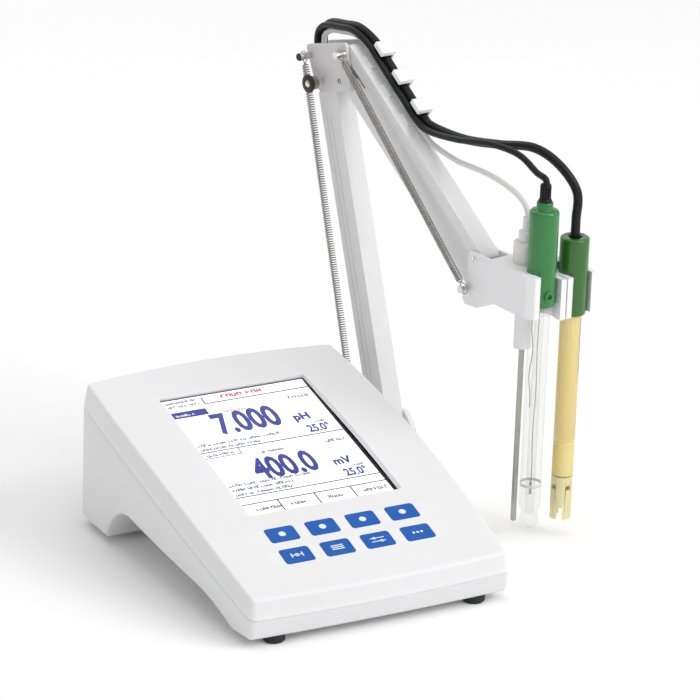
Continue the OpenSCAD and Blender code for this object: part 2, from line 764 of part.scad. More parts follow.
module ph_cap() color("#2f9a4b") on_probe(ph_a, ph_w) {
    difference() {
        union() {
            rotate_extrude($fn = 96) polygon([
                [0, ph_low], [cap_d / 2 - 0.6, ph_low], [cap_d / 2, ph_low + 0.6], [cap_d / 2, ph_top - 5.2],
                [cap_d / 2 - 1, ph_top - 4.2], [4.6, ph_top - 3.8], [4.6, ph_top], [0, ph_top]
            ]);
            rotate([0, 0, port_turn]) translate([0, 0, ph_low + 7]) rotate([0, 90, 0]) cylinder(r = 2.8, h = cap_d / 2 + 1.8);
        }
        rotate([0, 0, port_turn]) translate([cap_d / 2 - 4, 0, ph_low + 7]) rotate([0, 90, 0]) cylinder(r = 1.3, h = 12);
        translate([0, 0, ph_low - 1]) cylinder(d = probe_d, h = 13, $fn = 96);
        translate([0, 0, ph_top - 10]) cylinder(r = 2.1, h = 12);
    }
}

module ph_glass() color("#e8eef0", 0.35) on_probe(ph_a, ph_w) {
    low = ph_low - ph_len;
    translate([0, 0, 0]) difference() {
        rotate_extrude($fn = 96) polygon([
            [0, low + 1], [3, low + 1.6], [4.8, low + 4], [5.2, low + 8], [probe_d / 2 - 0.3, low + 11],
            [probe_d / 2, low + 14], [probe_d / 2, ph_low + 10], [0, ph_low + 10]
        ]);
        translate([0, 0, low + 14]) cylinder(d = probe_d - 2, h = ph_len + 30);
    }
}

module ph_element() color("#cfd3d4") on_probe(ph_a, ph_w) {
    low = ph_low - ph_len;
    translate([0, 0, low + 15]) difference() {
        cylinder(r = 2.6, h = ph_len - 8);
        translate([0, 0, -1]) cylinder(r = 1.9, h = ph_len);
    }
    translate([0, 0, low + 30]) cylinder(r = 0.4, h = ph_len - 25);
}

cond_low = -24.7;
cond_top = 20;

module conductivity_cap() color("#2c8c43") on_probe(ph_a, cond_w) difference() {
    rotate_extrude($fn = 96) polygon([
        [0, cond_low], [cap_d / 2 - 0.8, cond_low], [cap_d / 2, cond_low + 0.8], [cap_d / 2, cond_top - 1],
        [cap_d / 2 - 1, cond_top], [0, cond_top]
    ]);
    translate([0, 0, cond_low - 1]) cylinder(d = probe_d, h = 13, $fn = 96);
    translate([0, 0, cond_top - 8]) cylinder(r = 2.7, h = 10);
}

module conductivity_body() color("#e2c56f", 0.8) on_probe(ph_a, cond_w) {
    low = cond_low - 122;
    difference() {
        translate([0, 0, low + 26]) cylinder(d = probe_d, h = 108, $fn = 96);
        rotate([0, 0, 55]) translate([probe_d / 2 - 0.4, -0.4, cond_low - 36]) cube([2, 0.8, 34]);
        translate([0, 0, low + 25]) cylinder(r = 3.2, h = 20);
    }
    translate([0, 0, low + 4]) cylinder(r = 3.2, h = 41);
}

module conductivity_sleeve() color("#ead38d", 0.8) on_probe(ph_a, cond_w) {
    low = cond_low - 122;
    difference() {
        translate([0, 0, low]) cylinder(d = probe_d, h = 25.5, $fn = 96);
        translate([0, 0, low - 1]) cylinder(r = 4.4, h = 24);
        translate([0, 0, low]) cylinder(r = 3.2, h = 30);
        for (a = [0, 90]) rotate([0, 0, a]) translate([-10, 0, low + 19]) rotate([0, 90, 0]) cylinder(r = 1.6, h = 20);
        for (a = [45, 135]) rotate([0, 0, a]) translate([-10, -1.6, low - 1]) cube([20, 3.2, 8]);
    }
}

module temperature_cap() color("#f0f0ef") on_probe(temp_a, temp_w) translate([0, 0, head_top]) difference() {
    rotate_extrude() polygon([
        [0, 0], [7.2, 0], [7.4, 0.4], [7.4, 11.4], [6.6, 12.2], [4.8, 12.4], [4.8, 17.6], [4.2, 18.2],
        [3, 18.4], [2.8, 26], [0, 26]
    ]);
    translate([0, 0, -1]) cylinder(r = rod_d / 2, h = 9);
    translate([0, 0, 18]) cylinder(r = 1.9, h = 10);
}

module temperature_rod() color("#b5b3ac") on_probe(temp_a, temp_w) {
    low = -150.5;
    rotate_extrude() polygon([
        [0, low], [rod_d / 2 - 0.6, low], [rod_d / 2, low + 0.8], [rod_d / 2, head_top + 8], [0, head_top + 8]
    ]);
}

// ---------- springs ----------

// a coil spring between two posts, as a plain tube with a loop at each end
module spring(from, to, w) arm_frame() {
    run = to - from;
    loop = 4.2;
    turn = atan2(run[0], run[1]);
    translate([from[0], w, from[1]]) rotate([0, turn, 0]) {
        translate([0, 0, loop + 0.6]) difference() {
            cylinder(r = spring_r, h = norm(run) - 2 * loop - 1.2);
            translate([0, 0, -1]) cylinder(r = spring_r - 1, h = norm(run));
        }
        for (z = [0, norm(run)]) translate([0, 0, z]) rotate([90, 0, 0]) rotate_extrude() translate([loop - 0.5, 0]) circle(0.6);
    }
}

module lower_springs() color("#a9a39c") for (k = [-1, 1]) spring(base_post, back_post, k * lower_spring_w);

module upper_springs() color("#a9a39c") for (k = [-1, 1])
    spring(upper_pivot, head_pivot + upper_link_at, k * upper_spring_w);

// ---------- cables ----------

// the way of a cable from its socket behind the case, over the floor and up the arm to its probe; f is its place
// in the row on the floor, back and top its [w, distance] from the lower and the upper arm
function cable_path(x, r, f, back, top, last) = concat(
    [
        [x, half_l + 6, socket_z], [x + 3, half_l + 19, socket_z - 6], [x + 10, half_l + 24 + f, 14],
        [x + 24, half_l + 20 + f, r + 1.2], [(x + pin_x) / 2 + 20, half_l + 16 + f, r + 1.2],
        arm_pt(-52 - 0.8 * f, 1.5 * f + 2, r + 1.6), arm_pt(-23 - back[1], (f + 2 + back[0]) / 2, 14)
    ],
    [for (k = [14 : 32 : 174]) lower_pt(k, -back[1], back[0])],
    [
        lower_pt(196, -back[1] - 0.6, back[0]),
        arm_pt(elbow[0] - 9 - top[1], (2 * back[0] + top[0]) / 3, elbow[1] + 17),
        arm_pt(elbow[0] - 2.4 - 1.05 * top[1], (back[0] + top[0]) / 2, elbow[1] + 18.6 + 0.88 * top[1]),
        arm_pt(elbow[0] + 4, (back[0] + 4 * top[0]) / 5, elbow[1] + 20.2 + top[1]),
        arm_pt(elbow[0] + 17, top[0], elbow[1] + 20.6 + top[1])
    ],
    [for (k = [4, 22, 42, 60]) upper_pt(k, top[1], top[0])],
    last
);

module ph_cable() color("#1d1f21") {
    r = 1.85;
    sweep(spline(cable_path(ph_socket_x, r, -3.2, [3, 17], [1.2, 10.9], [
        arm_pt(34, 0, 221.5), arm_pt(60, 0, 222), arm_pt(86, 3, 224.6), arm_pt(108, ph_w, 222.6),
        arm_pt(124, ph_w, 216), head_pt(ph_a, ph_w, ph_top + 12), head_pt(ph_a, ph_w, ph_top + 3),
        head_pt(ph_a, ph_w, ph_top - 9.5)
    ])), r);
}

module ph_strain_relief() color("#1d1f21") on_probe(ph_a, ph_w) translate([0, 0, ph_top]) difference() {
    rotate_extrude() polygon([[0, 0], [3.7, 0], [3.7, 1.2], [3.2, 1.6], [3.1, 9.4], [2.8, 10], [0, 10]]);
    translate([0, 0, -1]) cylinder(r = 2.4, h = 14);
}

module conductivity_cable() color("#1d1f21") {
    r = 2.6;
    sweep(spline(cable_path(conductivity_x, r, 5.4, [7.7, 17.7], [6.3, 11.4], [
        arm_pt(31, 6.4, 222), arm_pt(56, 9, 219.8), arm_pt(82, 13, 221.6), arm_pt(106, 18, 224),
        arm_pt(122, 23, 217), arm_pt(131, cond_w, 203), head_pt(ph_a, cond_w, cond_top + 10),
        head_pt(ph_a, cond_w, cond_top + 2), head_pt(ph_a, cond_w, cond_top - 7.4)
    ])), r);
}

module temperature_cable() color("#e9e9e8") {
    r = 1.6;
    sweep(spline(cable_path(temperature_x, r, 0.7, [5.6, 13.3], [3.5, 7.8], [
        upper_pt(76, 7.8, 4.4), arm_pt(52, 6, 207.4), arm_pt(66, 5.5, 206.8), arm_pt(80, 6, 205.8),
        arm_pt(92, 6.8, 203.4), arm_pt(101.5, 7.3, 200.6), arm_pt(108.6, temp_w, 197), arm_pt(112.8, temp_w, 193.2),
        head_pt(temp_a, temp_w, head_top + 26.5), head_pt(temp_a, temp_w, head_top + 23),
        head_pt(temp_a, temp_w, head_top + 19.5)
    ])), r);
}

upper_case();
lower_case();
display_window();
display_frame();
display_panel();
keypad_mat();
keypad_board();
main_board();
input_board();
clock_battery();
case_screws();
feet();
ph_socket();
reference_jack();
temperature_socket();
conductivity_socket();
usb_socket();
serial_socket();
power_jack();
switch_frame();
power_switch();
key(0);  // key_1
key(1);  // key_2
key(2);  // key_3
key(3);  // key_4
key(4);  // key_5
key(5);  // key_6
key(6);  // key_7
key(7);  // key_8
base_plate();
base_plate_screws();
base_plate_feet();
swivel_post();
swivel_base();
shoulder_pins();
lower_arm();
lower_link();
elbow_bracket();
elbow_pins();
tension_knob();
upper_arm();
upper_link();
cable_clips();
electrode_head();
head_pins();
ph_cap();
ph_glass();
ph_element();
conductivity_cap();
conductivity_body();
conductivity_sleeve();
temperature_cap();
temperature_rod();
lower_springs();
upper_springs();
ph_strain_relief();
ph_cable();
conductivity_cable();
temperature_cable();
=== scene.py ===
"""The looks of a bench pH meter with a spring arm and three probes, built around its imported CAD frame.

Lengths below are in millimetres and become metres when a mesh is made.
X is to the right, Y to the back, Z up.
"""
import math
import random

import bpy
from mathutils import Euler, Matrix, Vector


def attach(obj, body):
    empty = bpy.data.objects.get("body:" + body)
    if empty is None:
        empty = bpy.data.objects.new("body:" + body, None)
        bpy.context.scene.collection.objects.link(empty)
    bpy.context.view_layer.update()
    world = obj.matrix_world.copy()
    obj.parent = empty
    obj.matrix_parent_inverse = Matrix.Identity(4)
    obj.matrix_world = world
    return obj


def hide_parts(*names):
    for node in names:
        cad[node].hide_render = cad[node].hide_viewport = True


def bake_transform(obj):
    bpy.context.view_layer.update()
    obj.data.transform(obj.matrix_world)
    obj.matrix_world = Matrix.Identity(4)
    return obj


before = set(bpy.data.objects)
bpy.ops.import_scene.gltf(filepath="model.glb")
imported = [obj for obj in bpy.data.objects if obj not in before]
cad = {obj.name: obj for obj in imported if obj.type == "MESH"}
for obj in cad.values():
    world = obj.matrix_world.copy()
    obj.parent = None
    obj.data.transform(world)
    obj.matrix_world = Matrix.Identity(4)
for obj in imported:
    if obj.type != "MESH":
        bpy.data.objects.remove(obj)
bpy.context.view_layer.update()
MM = 0.001
random.seed(7)


# ---------- meshes ----------

def mesh_object(name, verts, faces, sharp_deg=35):
    """A closed mesh object from millimetre points, smooth except over sharp edges."""
    mesh = bpy.data.meshes.new(name)
    mesh.from_pydata([tuple(c * MM for c in v) for v in verts], [], faces)
    mesh.validate()
    mesh.polygons.foreach_set("use_smooth", [True] * len(mesh.polygons))
    mesh.set_sharp_from_angle(angle=math.radians(sharp_deg))
    obj = bpy.data.objects.new(name, mesh)
    bpy.context.scene.collection.objects.link(obj)
    return obj


def band_faces(rows, n):
    """Faces between neighbouring rows of n points, closed round each row."""
    return [
        (r * n + k, r * n + (k + 1) % n, (r + 1) * n + (k + 1) % n, (r + 1) * n + k)
        for r in range(rows - 1) for k in range(n)
    ]


def closed_band(rows, n):
    """The faces of a band with a cap over its first and its last row."""
    return band_faces(rows, n) + [tuple(reversed(range(n))), tuple((rows - 1) * n + k for k in range(n))]


def tube_geometry(path, radii, sides):
    """Points and faces of a round tube along a path, with one radius for each path point."""
    path = [Vector(p) for p in path]
    last = len(path) - 1
    verts = []
    normal = None
    for i, p in enumerate(path):
        along = (path[min(i + 1, last)] - path[max(i - 1, 0)]).normalized()
        if normal is None:
            helper = Vector((0, 0, 1)) if abs(along.z) < 0.9 else Vector((0, 1, 0))
            normal = along.cross(helper).normalized()
        else:
            normal = (normal - along * normal.dot(along)).normalized()
        other = along.cross(normal)
        for k in range(sides):
            a = 2 * math.pi * k / sides
            verts.append(p + radii[i] * (math.cos(a) * normal + math.sin(a) * other))
    return verts, closed_band(last + 1, sides)


def join_geometry(parts):
    """One list of points and one of faces from several."""
    verts, faces = [], []
    for v, f in parts:
        base = len(verts)
        verts.extend(v)
        faces.extend(tuple(base + i for i in face) for face in f)
    return verts, faces


def lathe_geometry(profile, place, sides=64):
    """A turned shape from (radius, height) pairs; place turns a local point into a point of the frame."""
    verts, faces, rings = [], [], []
    for r, z in profile:
        if r < 1e-6:
            rings.append([len(verts)])
            verts.append(place(0, 0, z))
            continue
        rings.append(list(range(len(verts), len(verts) + sides)))
        for k in range(sides):
            a = 2 * math.pi * k / sides
            verts.append(place(r * math.cos(a), r * math.sin(a), z))
    for low, high in zip(rings, rings[1:]):
        for k in range(sides):
            n = (k + 1) % sides
            if len(low) == 1:
                faces.append((low[0], high[n], high[k]))
            elif len(high) == 1:
                faces.append((low[k], low[n], high[0]))
            else:
                faces.append((low[k], low[n], high[n], high[k]))
    return verts, faces


def prism_geometry(outline, place, low, high, chamfer=0.0):
    """A prism on a flat outline of (x, y), from low to high, with its top edge drawn in by chamfer."""
    n = len(outline)
    cx = sum(p[0] for p in outline) / n
    cy = sum(p[1] for p in outline) / n
    levels = [(0.0, low), (0.0, high - chamfer), (chamfer, high)] if chamfer else [(0.0, low), (0.0, high)]
    verts = []
    for inset, z in levels:
        for x, y in outline:
            d = math.hypot(x - cx, y - cy)
            k = 1 - inset / d
            verts.append(place(cx + (x - cx) * k, cy + (y - cy) * k, z))
    return verts, closed_band(len(levels), n)


def rounded_rect(cx, cy, w, h, r, steps=6):
    """The outline of a rectangle with round corners."""
    points = []
    for sx, sy, start in ((1, 1, 0), (-1, 1, 90), (-1, -1, 180), (1, -1, 270)):
        for i in range(steps + 1):
            a = math.radians(start + 90 * i / steps)
            points.append((cx + sx * (w / 2 - r) + r * math.cos(a), cy + sy * (h / 2 - r) + r * math.sin(a)))
    return points


def cut(obj, verts, faces):
    """Takes a closed shape away from obj."""
    tool = mesh_object("tool", verts, faces)
    modifier = obj.modifiers.new("cut", "BOOLEAN")
    modifier.operation = "DIFFERENCE"
    modifier.solver = "EXACT"
    modifier.object = tool
    bpy.context.view_layer.update()
    evaluated = obj.evaluated_get(bpy.context.evaluated_depsgraph_get())
    mesh = bpy.data.meshes.new_from_object(evaluated)
    obj.modifiers.clear()
    old = obj.data
    obj.data = mesh
    bpy.data.meshes.remove(old)
    bpy.data.objects.remove(tool)
    mesh.polygons.foreach_set("use_smooth", [True] * len(mesh.polygons))
    mesh.set_sharp_from_angle(angle=math.radians(28))


# ---------- materials ----------

class Shader:
    """A small helper that adds nodes to a material and links them."""

    def __init__(self, name):
        self.material = bpy.data.materials.new(name)
        self.material.use_nodes = True
        self.tree = self.material.node_tree
        self.tree.nodes.clear()
        self.out = self.tree.nodes.new("ShaderNodeOutputMaterial")
        self.coords = self.tree.nodes.new("ShaderNodeTexCoord").outputs["Object"]

    def node(self, kind, inputs=None, **settings):
        n = self.tree.nodes.new("ShaderNode" + kind)
        for key, value in settings.items():
            setattr(n, key, value)
        for key, value in (inputs or {}).items():
            if isinstance(value, bpy.types.NodeSocket):
                self.tree.links.new(value, n.inputs[key])
            else:
                n.inputs[key].default_value = value
        return n

    def noise(self, scale, detail=3.0, stretch=None):
        """A noise value between 0 and 1; scale is in features per metre."""
        coords = self.coords
        if stretch:
            coords = self.node("Mapping", {"Vector": coords, "Scale": stretch}).outputs[0]
        return self.node("TexNoise", {"Vector": coords, "Scale": scale, "Detail": detail}).outputs["Fac"]

    def ramp(self, value, low, high):
        """value stretched from 0..1 to low..high."""
        return self.node("MapRange", {"Value": value, "To Min": low, "To Max": high}).outputs[0]

    def tint(self, value, dark, light):
        """A colour between two colours or sockets, chosen by value."""
        ends = [c if isinstance(c, bpy.types.NodeSocket) else (*c, 1) for c in (dark, light)]
        mix = self.node("Mix", {0: value, 6: ends[0], 7: ends[1]}, data_type="RGBA")
        return mix.outputs[2]

    def bump(self, value, depth_mm, strength=1.0):
        inputs = {"Height": value, "Distance": depth_mm * MM, "Strength": strength}
        return self.node("Bump", inputs).outputs[0]

    def surface(self, socket):
        self.tree.links.new(socket, self.out.inputs["Surface"])
        return self.material


def shade(color, k):
    """A colour made k times as bright."""
    return tuple(min(1.0, c * k) for c in color)


def moulded(name, color, rough=0.42, grain=1500.0, depth=0.02, variation=0.04, coat=0.0, shine=0.5):
    """Moulded plastic or rubber: fine spark texture, slow colour drift, a painted highlight on convex edges,
    handling marks in the gloss.
    """
    s = Shader(name)
    drift = s.noise(14.0, 4.0)
    edge = s.node("NewGeometry").outputs["Pointiness"]
    # painted highlight: convex edges, found by pointiness, get a lighter colour as if they caught the light
    edge_highlight = s.node("MapRange", {"Value": edge, "From Min": 0.50, "From Max": 0.58, "To Max": 0.5}).outputs[0]
    base = s.tint(s.ramp(drift, -0.3, 1.3), shade(color, 1 - variation), shade(color, 1 + variation))
    highlighted = s.tint(edge_highlight, base, shade(color, 1.12))
    smudge = s.noise(55.0, 5.0)
    roughness = s.ramp(smudge, rough - 0.07, rough + 0.09)
    normal = s.bump(s.noise(grain, 2.0), depth, 0.6)
    shader = s.node("BsdfPrincipled", {
        "Base Color": highlighted, "Roughness": roughness, "Normal": normal, "Specular IOR Level": shine,
        "Coat Weight": coat, "Coat Roughness": 0.12,
    })
    return s.surface(shader.outputs[0])


def metal(name, color, rough=0.28, brushed=True, tarnish=0.12):
    """Machined or drawn metal with fine drawing lines and slight tarnish."""
    s = Shader(name)
    lines = s.noise(900.0, 4.0, (1.0, 1.0, 0.06) if brushed else None)
    patches = s.noise(120.0, 5.0)
    base = s.tint(patches, shade(color, 1 - tarnish), shade(color, 1 + tarnish))
    shader = s.node("BsdfPrincipled", {
        "Base Color": base, "Metallic": 1.0, "Roughness": s.ramp(lines, rough - 0.1, rough + 0.14),
        "Normal": s.bump(lines, 0.01, 0.5),
    })
    return s.surface(shader.outputs[0])


def clear(name, color, opacity, rough=0.03, waviness=0.0, ior=1.46):
    """Clear glass or resin as a thin skin: see-through face on, bright at the rims."""
    s = Shader(name)
    through = s.node("BsdfTransparent", {"Color": (*color, 1)}).outputs[0]
    normal = s.bump(s.noise(160.0, 2.0), 0.05, waviness) if waviness else None
    inputs = {"Color": (1, 1, 1, 1), "Roughness": s.ramp(s.noise(90.0), rough, rough + 0.05)}
    if normal:
        inputs["Normal"] = normal
    gloss = s.node("BsdfGlossy", inputs).outputs[0]
    body = s.node("BsdfDiffuse", {"Color": (*shade(color, 0.95), 1)}).outputs[0]
    rim = s.node("LayerWeight", {"Blend": 0.35}).outputs["Facing"]
    haze = s.ramp(rim, opacity * 0.35, min(1.0, opacity * 2.2))
    filled = s.node("MixShader", {0: haze, 1: through, 2: body}).outputs[0]
    # only the outer side mirrors the room, because a thin skin has no total reflection inside
    back = s.node("NewGeometry").outputs["Backfacing"]
    front = s.node("Math", {0: 1.0, 1: back}, operation="SUBTRACT").outputs[0]
    fresnel = s.node("Fresnel", {"IOR": ior}).outputs[0]
    mirror = s.node("Math", {0: fresnel, 1: front}, operation="MULTIPLY").outputs[0]
    return s.surface(s.node("MixShader", {0: mirror, 1: filled, 2: gloss}).outputs[0])


def printed(name, color, glow=0.0):
    """Ink or the lit paper of the display, with a faint screen grain."""
    s = Shader(name)
    grain = s.noise(2600.0, 2.0)
    base = s.tint(grain, shade(color, 0.96), shade(color, 1.03))
    shader = s.node("BsdfPrincipled", {
        "Base Color": base, "Roughness": s.ramp(s.noise(300.0), 0.45, 0.55),
        "Emission Color": base, "Emission Strength": glow, "Normal": s.bump(grain, 0.004, 0.3),
    })
    return s.surface(shader.outputs[0])


def resin(name, color, deep):
    """Translucent amber epoxy: lighter at its rims, with slow streaks along the rod."""
    s = Shader(name)
    streaks = s.noise(260.0, 3.0, (1.0, 1.0, 0.08))
    rim = s.node("LayerWeight", {"Blend": 0.45}).outputs["Facing"]
    base = s.tint(s.ramp(rim, -0.1, 0.9), color, deep)
    shader = s.node("BsdfPrincipled", {
        "Base Color": base, "Roughness": s.ramp(streaks, 0.16, 0.34), "Transmission Weight": 0.12, "IOR": 1.5,
        "Subsurface Weight": 0.5, "Subsurface Radius": (1.0, 0.7, 0.3), "Subsurface Scale": 0.004,
        "Normal": s.bump(streaks, 0.02, 0.4),
    })
    return s.surface(shader.outputs[0])


WHITE = (0.80, 0.80, 0.81)
M = {
    "case": moulded("case_plastic", WHITE, 0.46, 1700.0, 0.02, 0.015),
    "arm": moulded("arm_plastic", (0.78, 0.775, 0.78), 0.44, 900.0, 0.02, 0.025),
    "head": moulded("head_plastic", (0.82, 0.82, 0.825), 0.42, 900.0, 0.02, 0.02),
    "plate": moulded("bracket_plastic", (0.66, 0.645, 0.65), 0.5, 700.0, 0.03, 0.03),
    "key": moulded("key_plastic", (0.004, 0.1, 0.42), 0.38, 2200.0, 0.015, 0.05, shine=0.28),
    "black": moulded("black_plastic", (0.012, 0.012, 0.014), 0.33, 1400.0, 0.02, 0.15, shine=0.35),
    "rubber": moulded("foot_rubber", (0.02, 0.02, 0.021), 0.7, 1100.0, 0.05, 0.2),
    "silicone": moulded("keypad_silicone", (0.5, 0.52, 0.55), 0.6, 900.0, 0.03, 0.05),
    "board": moulded("circuit_board", (0.02, 0.13, 0.06), 0.35, 2500.0, 0.02, 0.3),
    "cap": moulded("green_cap", (0.02, 0.2, 0.04), 0.24, 600.0, 0.008, 0.08, 0.5, shine=0.4),
    "cap_dark": moulded("dark_green_cap", (0.025, 0.135, 0.012), 0.24, 600.0, 0.008, 0.1, 0.5, shine=0.4),
    "cable": moulded("black_cable", (0.006, 0.0065, 0.0075), 0.4, 1300.0, 0.03, 0.2, shine=0.3),
    "cable_white": moulded("white_cable", (0.74, 0.74, 0.73), 0.45, 1300.0, 0.03, 0.03),
    "probe_white": moulded("white_cap", (0.76, 0.75, 0.74), 0.36, 900.0, 0.015, 0.03, 0.2),
    "base": moulded("base_paint", (0.70, 0.71, 0.71), 0.4, 1500.0, 0.03, 0.03),
    "steel": metal("pin_steel", (0.55, 0.54, 0.53), 0.3),
    "spring": metal("spring_steel", (0.36, 0.335, 0.31), 0.3, False, 0.25),
    "nickel": metal("nickel_plate", (0.72, 0.70, 0.67), 0.2, False),
    "brass": metal("brass", (0.62, 0.47, 0.25), 0.28, False, 0.2),
    "rod": metal("probe_steel", (0.46, 0.45, 0.42), 0.36),
    "glass": clear("probe_glass", (0.955, 0.96, 0.955), 0.13, 0.02, 0.25),
    "window": clear("window_glass", (0.99, 0.99, 0.99), 0.0, 0.06, 0.0, 1.25),
    "smoke": clear("smoked_sleeve", (0.45, 0.38, 0.28), 0.75, 0.1),
    "element": moulded("inner_element", (0.62, 0.62, 0.60), 0.3, 700.0, 0.01, 0.08),
    "wire": metal("silver_wire", (0.42, 0.38, 0.35), 0.3, False),
    "amber": resin("amber_epoxy", (0.93, 0.77, 0.34), (0.76, 0.56, 0.19)),
    "amber_light": resin("amber_sleeve", (0.93, 0.83, 0.48), (0.78, 0.62, 0.28)),
    "screen": printed("screen_white", (0.93, 0.93, 0.945), 0.42),
    "ink": printed("screen_blue", (0.035, 0.05, 0.36)),
    "ink_soft": printed("screen_text", (0.06, 0.06, 0.26)),
    "rule": printed("screen_rule", (0.03, 0.032, 0.03)),
    "red": printed("screen_red", (0.72, 0.03, 0.035)),
    "legend": printed("key_print", (0.80, 0.84, 0.90)),
}


def dress(obj, key):
    obj.data.materials.clear()
    obj.data.materials.append(M[key])
    return obj


def fit(obj, key, body, node=None):
    """Dresses a piece and ties it to its body, in place of a CAD node if one is named."""
    dress(obj, key)
    if node:
        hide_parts(node)
    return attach(obj, body)


def finish_cad(node, key, bevel):
    """Gives a CAD node its material and softens its edges with modifiers only."""
    obj = cad[node]
    dress(obj, key)
    normals = obj.data.attributes.get("custom_normal")
    if normals:
        obj.data.attributes.remove(normals)
    obj.data.polygons.foreach_set("use_smooth", [True] * len(obj.data.polygons))
    weld = obj.modifiers.new("weld", "WELD")
    weld.merge_threshold = 0.000002
    modifier = obj.modifiers.new("edges", "BEVEL")
    modifier.width = bevel * MM
    modifier.segments = 2
    modifier.limit_method = "ANGLE"
    modifier.angle_limit = math.radians(32)
    modifier.harden_normals = True
    modifier.use_clamp_overlap = True


# ---------- case ----------

HALF_L = 115.5
HALF_W = 81.5
FRONT_BULGE, REAR_BULGE, SIDE_BULGE = 2.5, 6.5, 3.7
PLAN_CORNER = 5
FOOT_H = 5.0
WALL = 2.4
TILT = math.radians(15.67)
CROWN_R = 1485.0
CROWN_TOP = 4.3
DECK_Y, DECK_Z = -4.55, 57.6
CROWN_Y = DECK_Y - math.sin(TILT) * (CROWN_TOP - CROWN_R)
CROWN_Z = DECK_Z + math.cos(TILT) * (CROWN_TOP - CROWN_R)
REAR_SLOPE = 0.127
EDGE_R = 2.2
SIDE_DRAFT = 1.6
# the underside runs up a front arc, along a slope and down an arc into the rear leg
SLOPE_Y, SLOPE_Z = (-50, 36), (17, 27.1)
REAR_ARC_R = 36.1
FRONT_ARC_Y, FRONT_ARC_Z, FRONT_ARC_R = -32.6, -111.8, 130


def deck_z(y):
    """Height of the crowned deck at a place y along the case."""
    return CROWN_Z + math.sqrt(CROWN_R ** 2 - (y - CROWN_Y) ** 2)


def seam_z(y):
    """Height of the seam between the two shells."""
    t = y / HALF_L
    return 49.34 + 30.84 * t - 2.77 * t * t


def under_z(y):
    """Height of the underside, with its tunnel between the front edge and the rear leg."""
    if y > SLOPE_Y[1]:
        inside = REAR_ARC_R ** 2 - (y - SLOPE_Y[1]) ** 2
        z = SLOPE_Z[1] - REAR_ARC_R + math.sqrt(inside) if inside > 0 else 0
    elif y > SLOPE_Y[0]:
        z = SLOPE_Z[0] + (y - SLOPE_Y[0]) * (SLOPE_Z[1] - SLOPE_Z[0]) / (SLOPE_Y[1] - SLOPE_Y[0])
    else:
        z = FRONT_ARC_Z + math.sqrt(max(0.0, FRONT_ARC_R ** 2 - (y - FRONT_ARC_Y) ** 2))
    return max(FOOT_H, z)


def deck_point(x, y, z):
    """A point given in the sloped deck's own frame."""
    along = y * math.cos(TILT) - z * math.sin(TILT)
    rise = y * math.sin(TILT) + z * math.cos(TILT)
    return Vector((x, DECK_Y + along, DECK_Z + rise))


def crown(y):
    """Height of the crowned surface in the sloped deck's own frame."""
    return CROWN_TOP - y * y / (2 * CROWN_R)


def corner_arc(p, q, t, r, steps=9):
    """The arc that rounds corner q between p and t."""
    p, q, t = Vector(p), Vector(q), Vector(t)
    u, v = (p - q).normalized(), (t - q).normalized()
    half = u.angle(v) / 2
    c = q + (u + v).normalized() * r / math.sin(half)
    a = q + u * r / math.tan(half) - c
    b = q + v * r / math.tan(half) - c
    return [c + r * (a + (b - a) * i / steps).normalized() for i in range(steps + 1)]


def right_outline():
    """The right half of the case's plan from front to back, and the y at which the rear corner starts."""
    front = lambda x: -HALF_L + FRONT_BULGE * (x / HALF_W) ** 2
    rear = lambda x: HALF_L - REAR_BULGE * (x / HALF_W) ** 2
    side = lambda y: HALF_W - SIDE_BULGE * (y / HALF_L) ** 2
    fx = side(-HALF_L + 2.4)
    rx = side(HALF_L - 6)
    leg, steps = 12, 16
    front_corner = corner_arc(
        (fx - leg, front(fx - leg)), (fx, front(fx)), (side(front(fx) + leg), front(fx) + leg), PLAN_CORNER,
    )
    rear_corner = corner_arc(
        (side(rear(rx) - leg), rear(rx) - leg), (rx, rear(rx)), (rx - leg, rear(rx - leg)), PLAN_CORNER,
    )
    points = []
    for i in range(steps):
        x = front_corner[0].x * i / steps
        points.append(Vector((x, front(x))))
    points += front_corner
    y, y1 = front_corner[-1].y, rear_corner[0].y
    while True:
        y += 0.6 if 58 < y < 70 else 2.4
        if y > y1 - 1:
            break
        points.append(Vector((side(y), y)))
    points += rear_corner
    for i in range(steps - 1, -1, -1):
        x = rear_corner[-1].x * i / steps
        points.append(Vector((x, rear(x))))
    return points, y1


RIGHT, REAR_Y = right_outline()
LOOP = RIGHT + [Vector((-p.x, p.y)) for p in reversed(RIGHT[1:-1])]
LOOP_N = len(LOOP)
# the slope of the rear wall builds up along the sides from here
LEAN_FROM_Y = 60


def loop_normal(i):
    d = LOOP[(i + 1) % LOOP_N] - LOOP[i - 1]
    return Vector((d.y, -d.x)).normalized()


NORMALS = [loop_normal(i) for i in range(LOOP_N)]


def loop_point(i, inset, height, front_set=0.0):
    """A point of the case's skin: inset from the plan outline, at height(y), with the sloped rear wall."""
    p, n = LOOP[i], NORMALS[i]
    x = p.x - n.x * inset
    y0 = p.y - n.y * inset + max(0.0, -n.y) * front_set
    lean = min(1.0, max(0.0, (p.y - LEAN_FROM_Y) / (REAR_Y - LEAN_FROM_Y)))
    y = y0
    for _ in range(4):
        y = y0 - REAR_SLOPE * (height(y) - FOOT_H) * lean
    return Vector((x, y, height(y)))


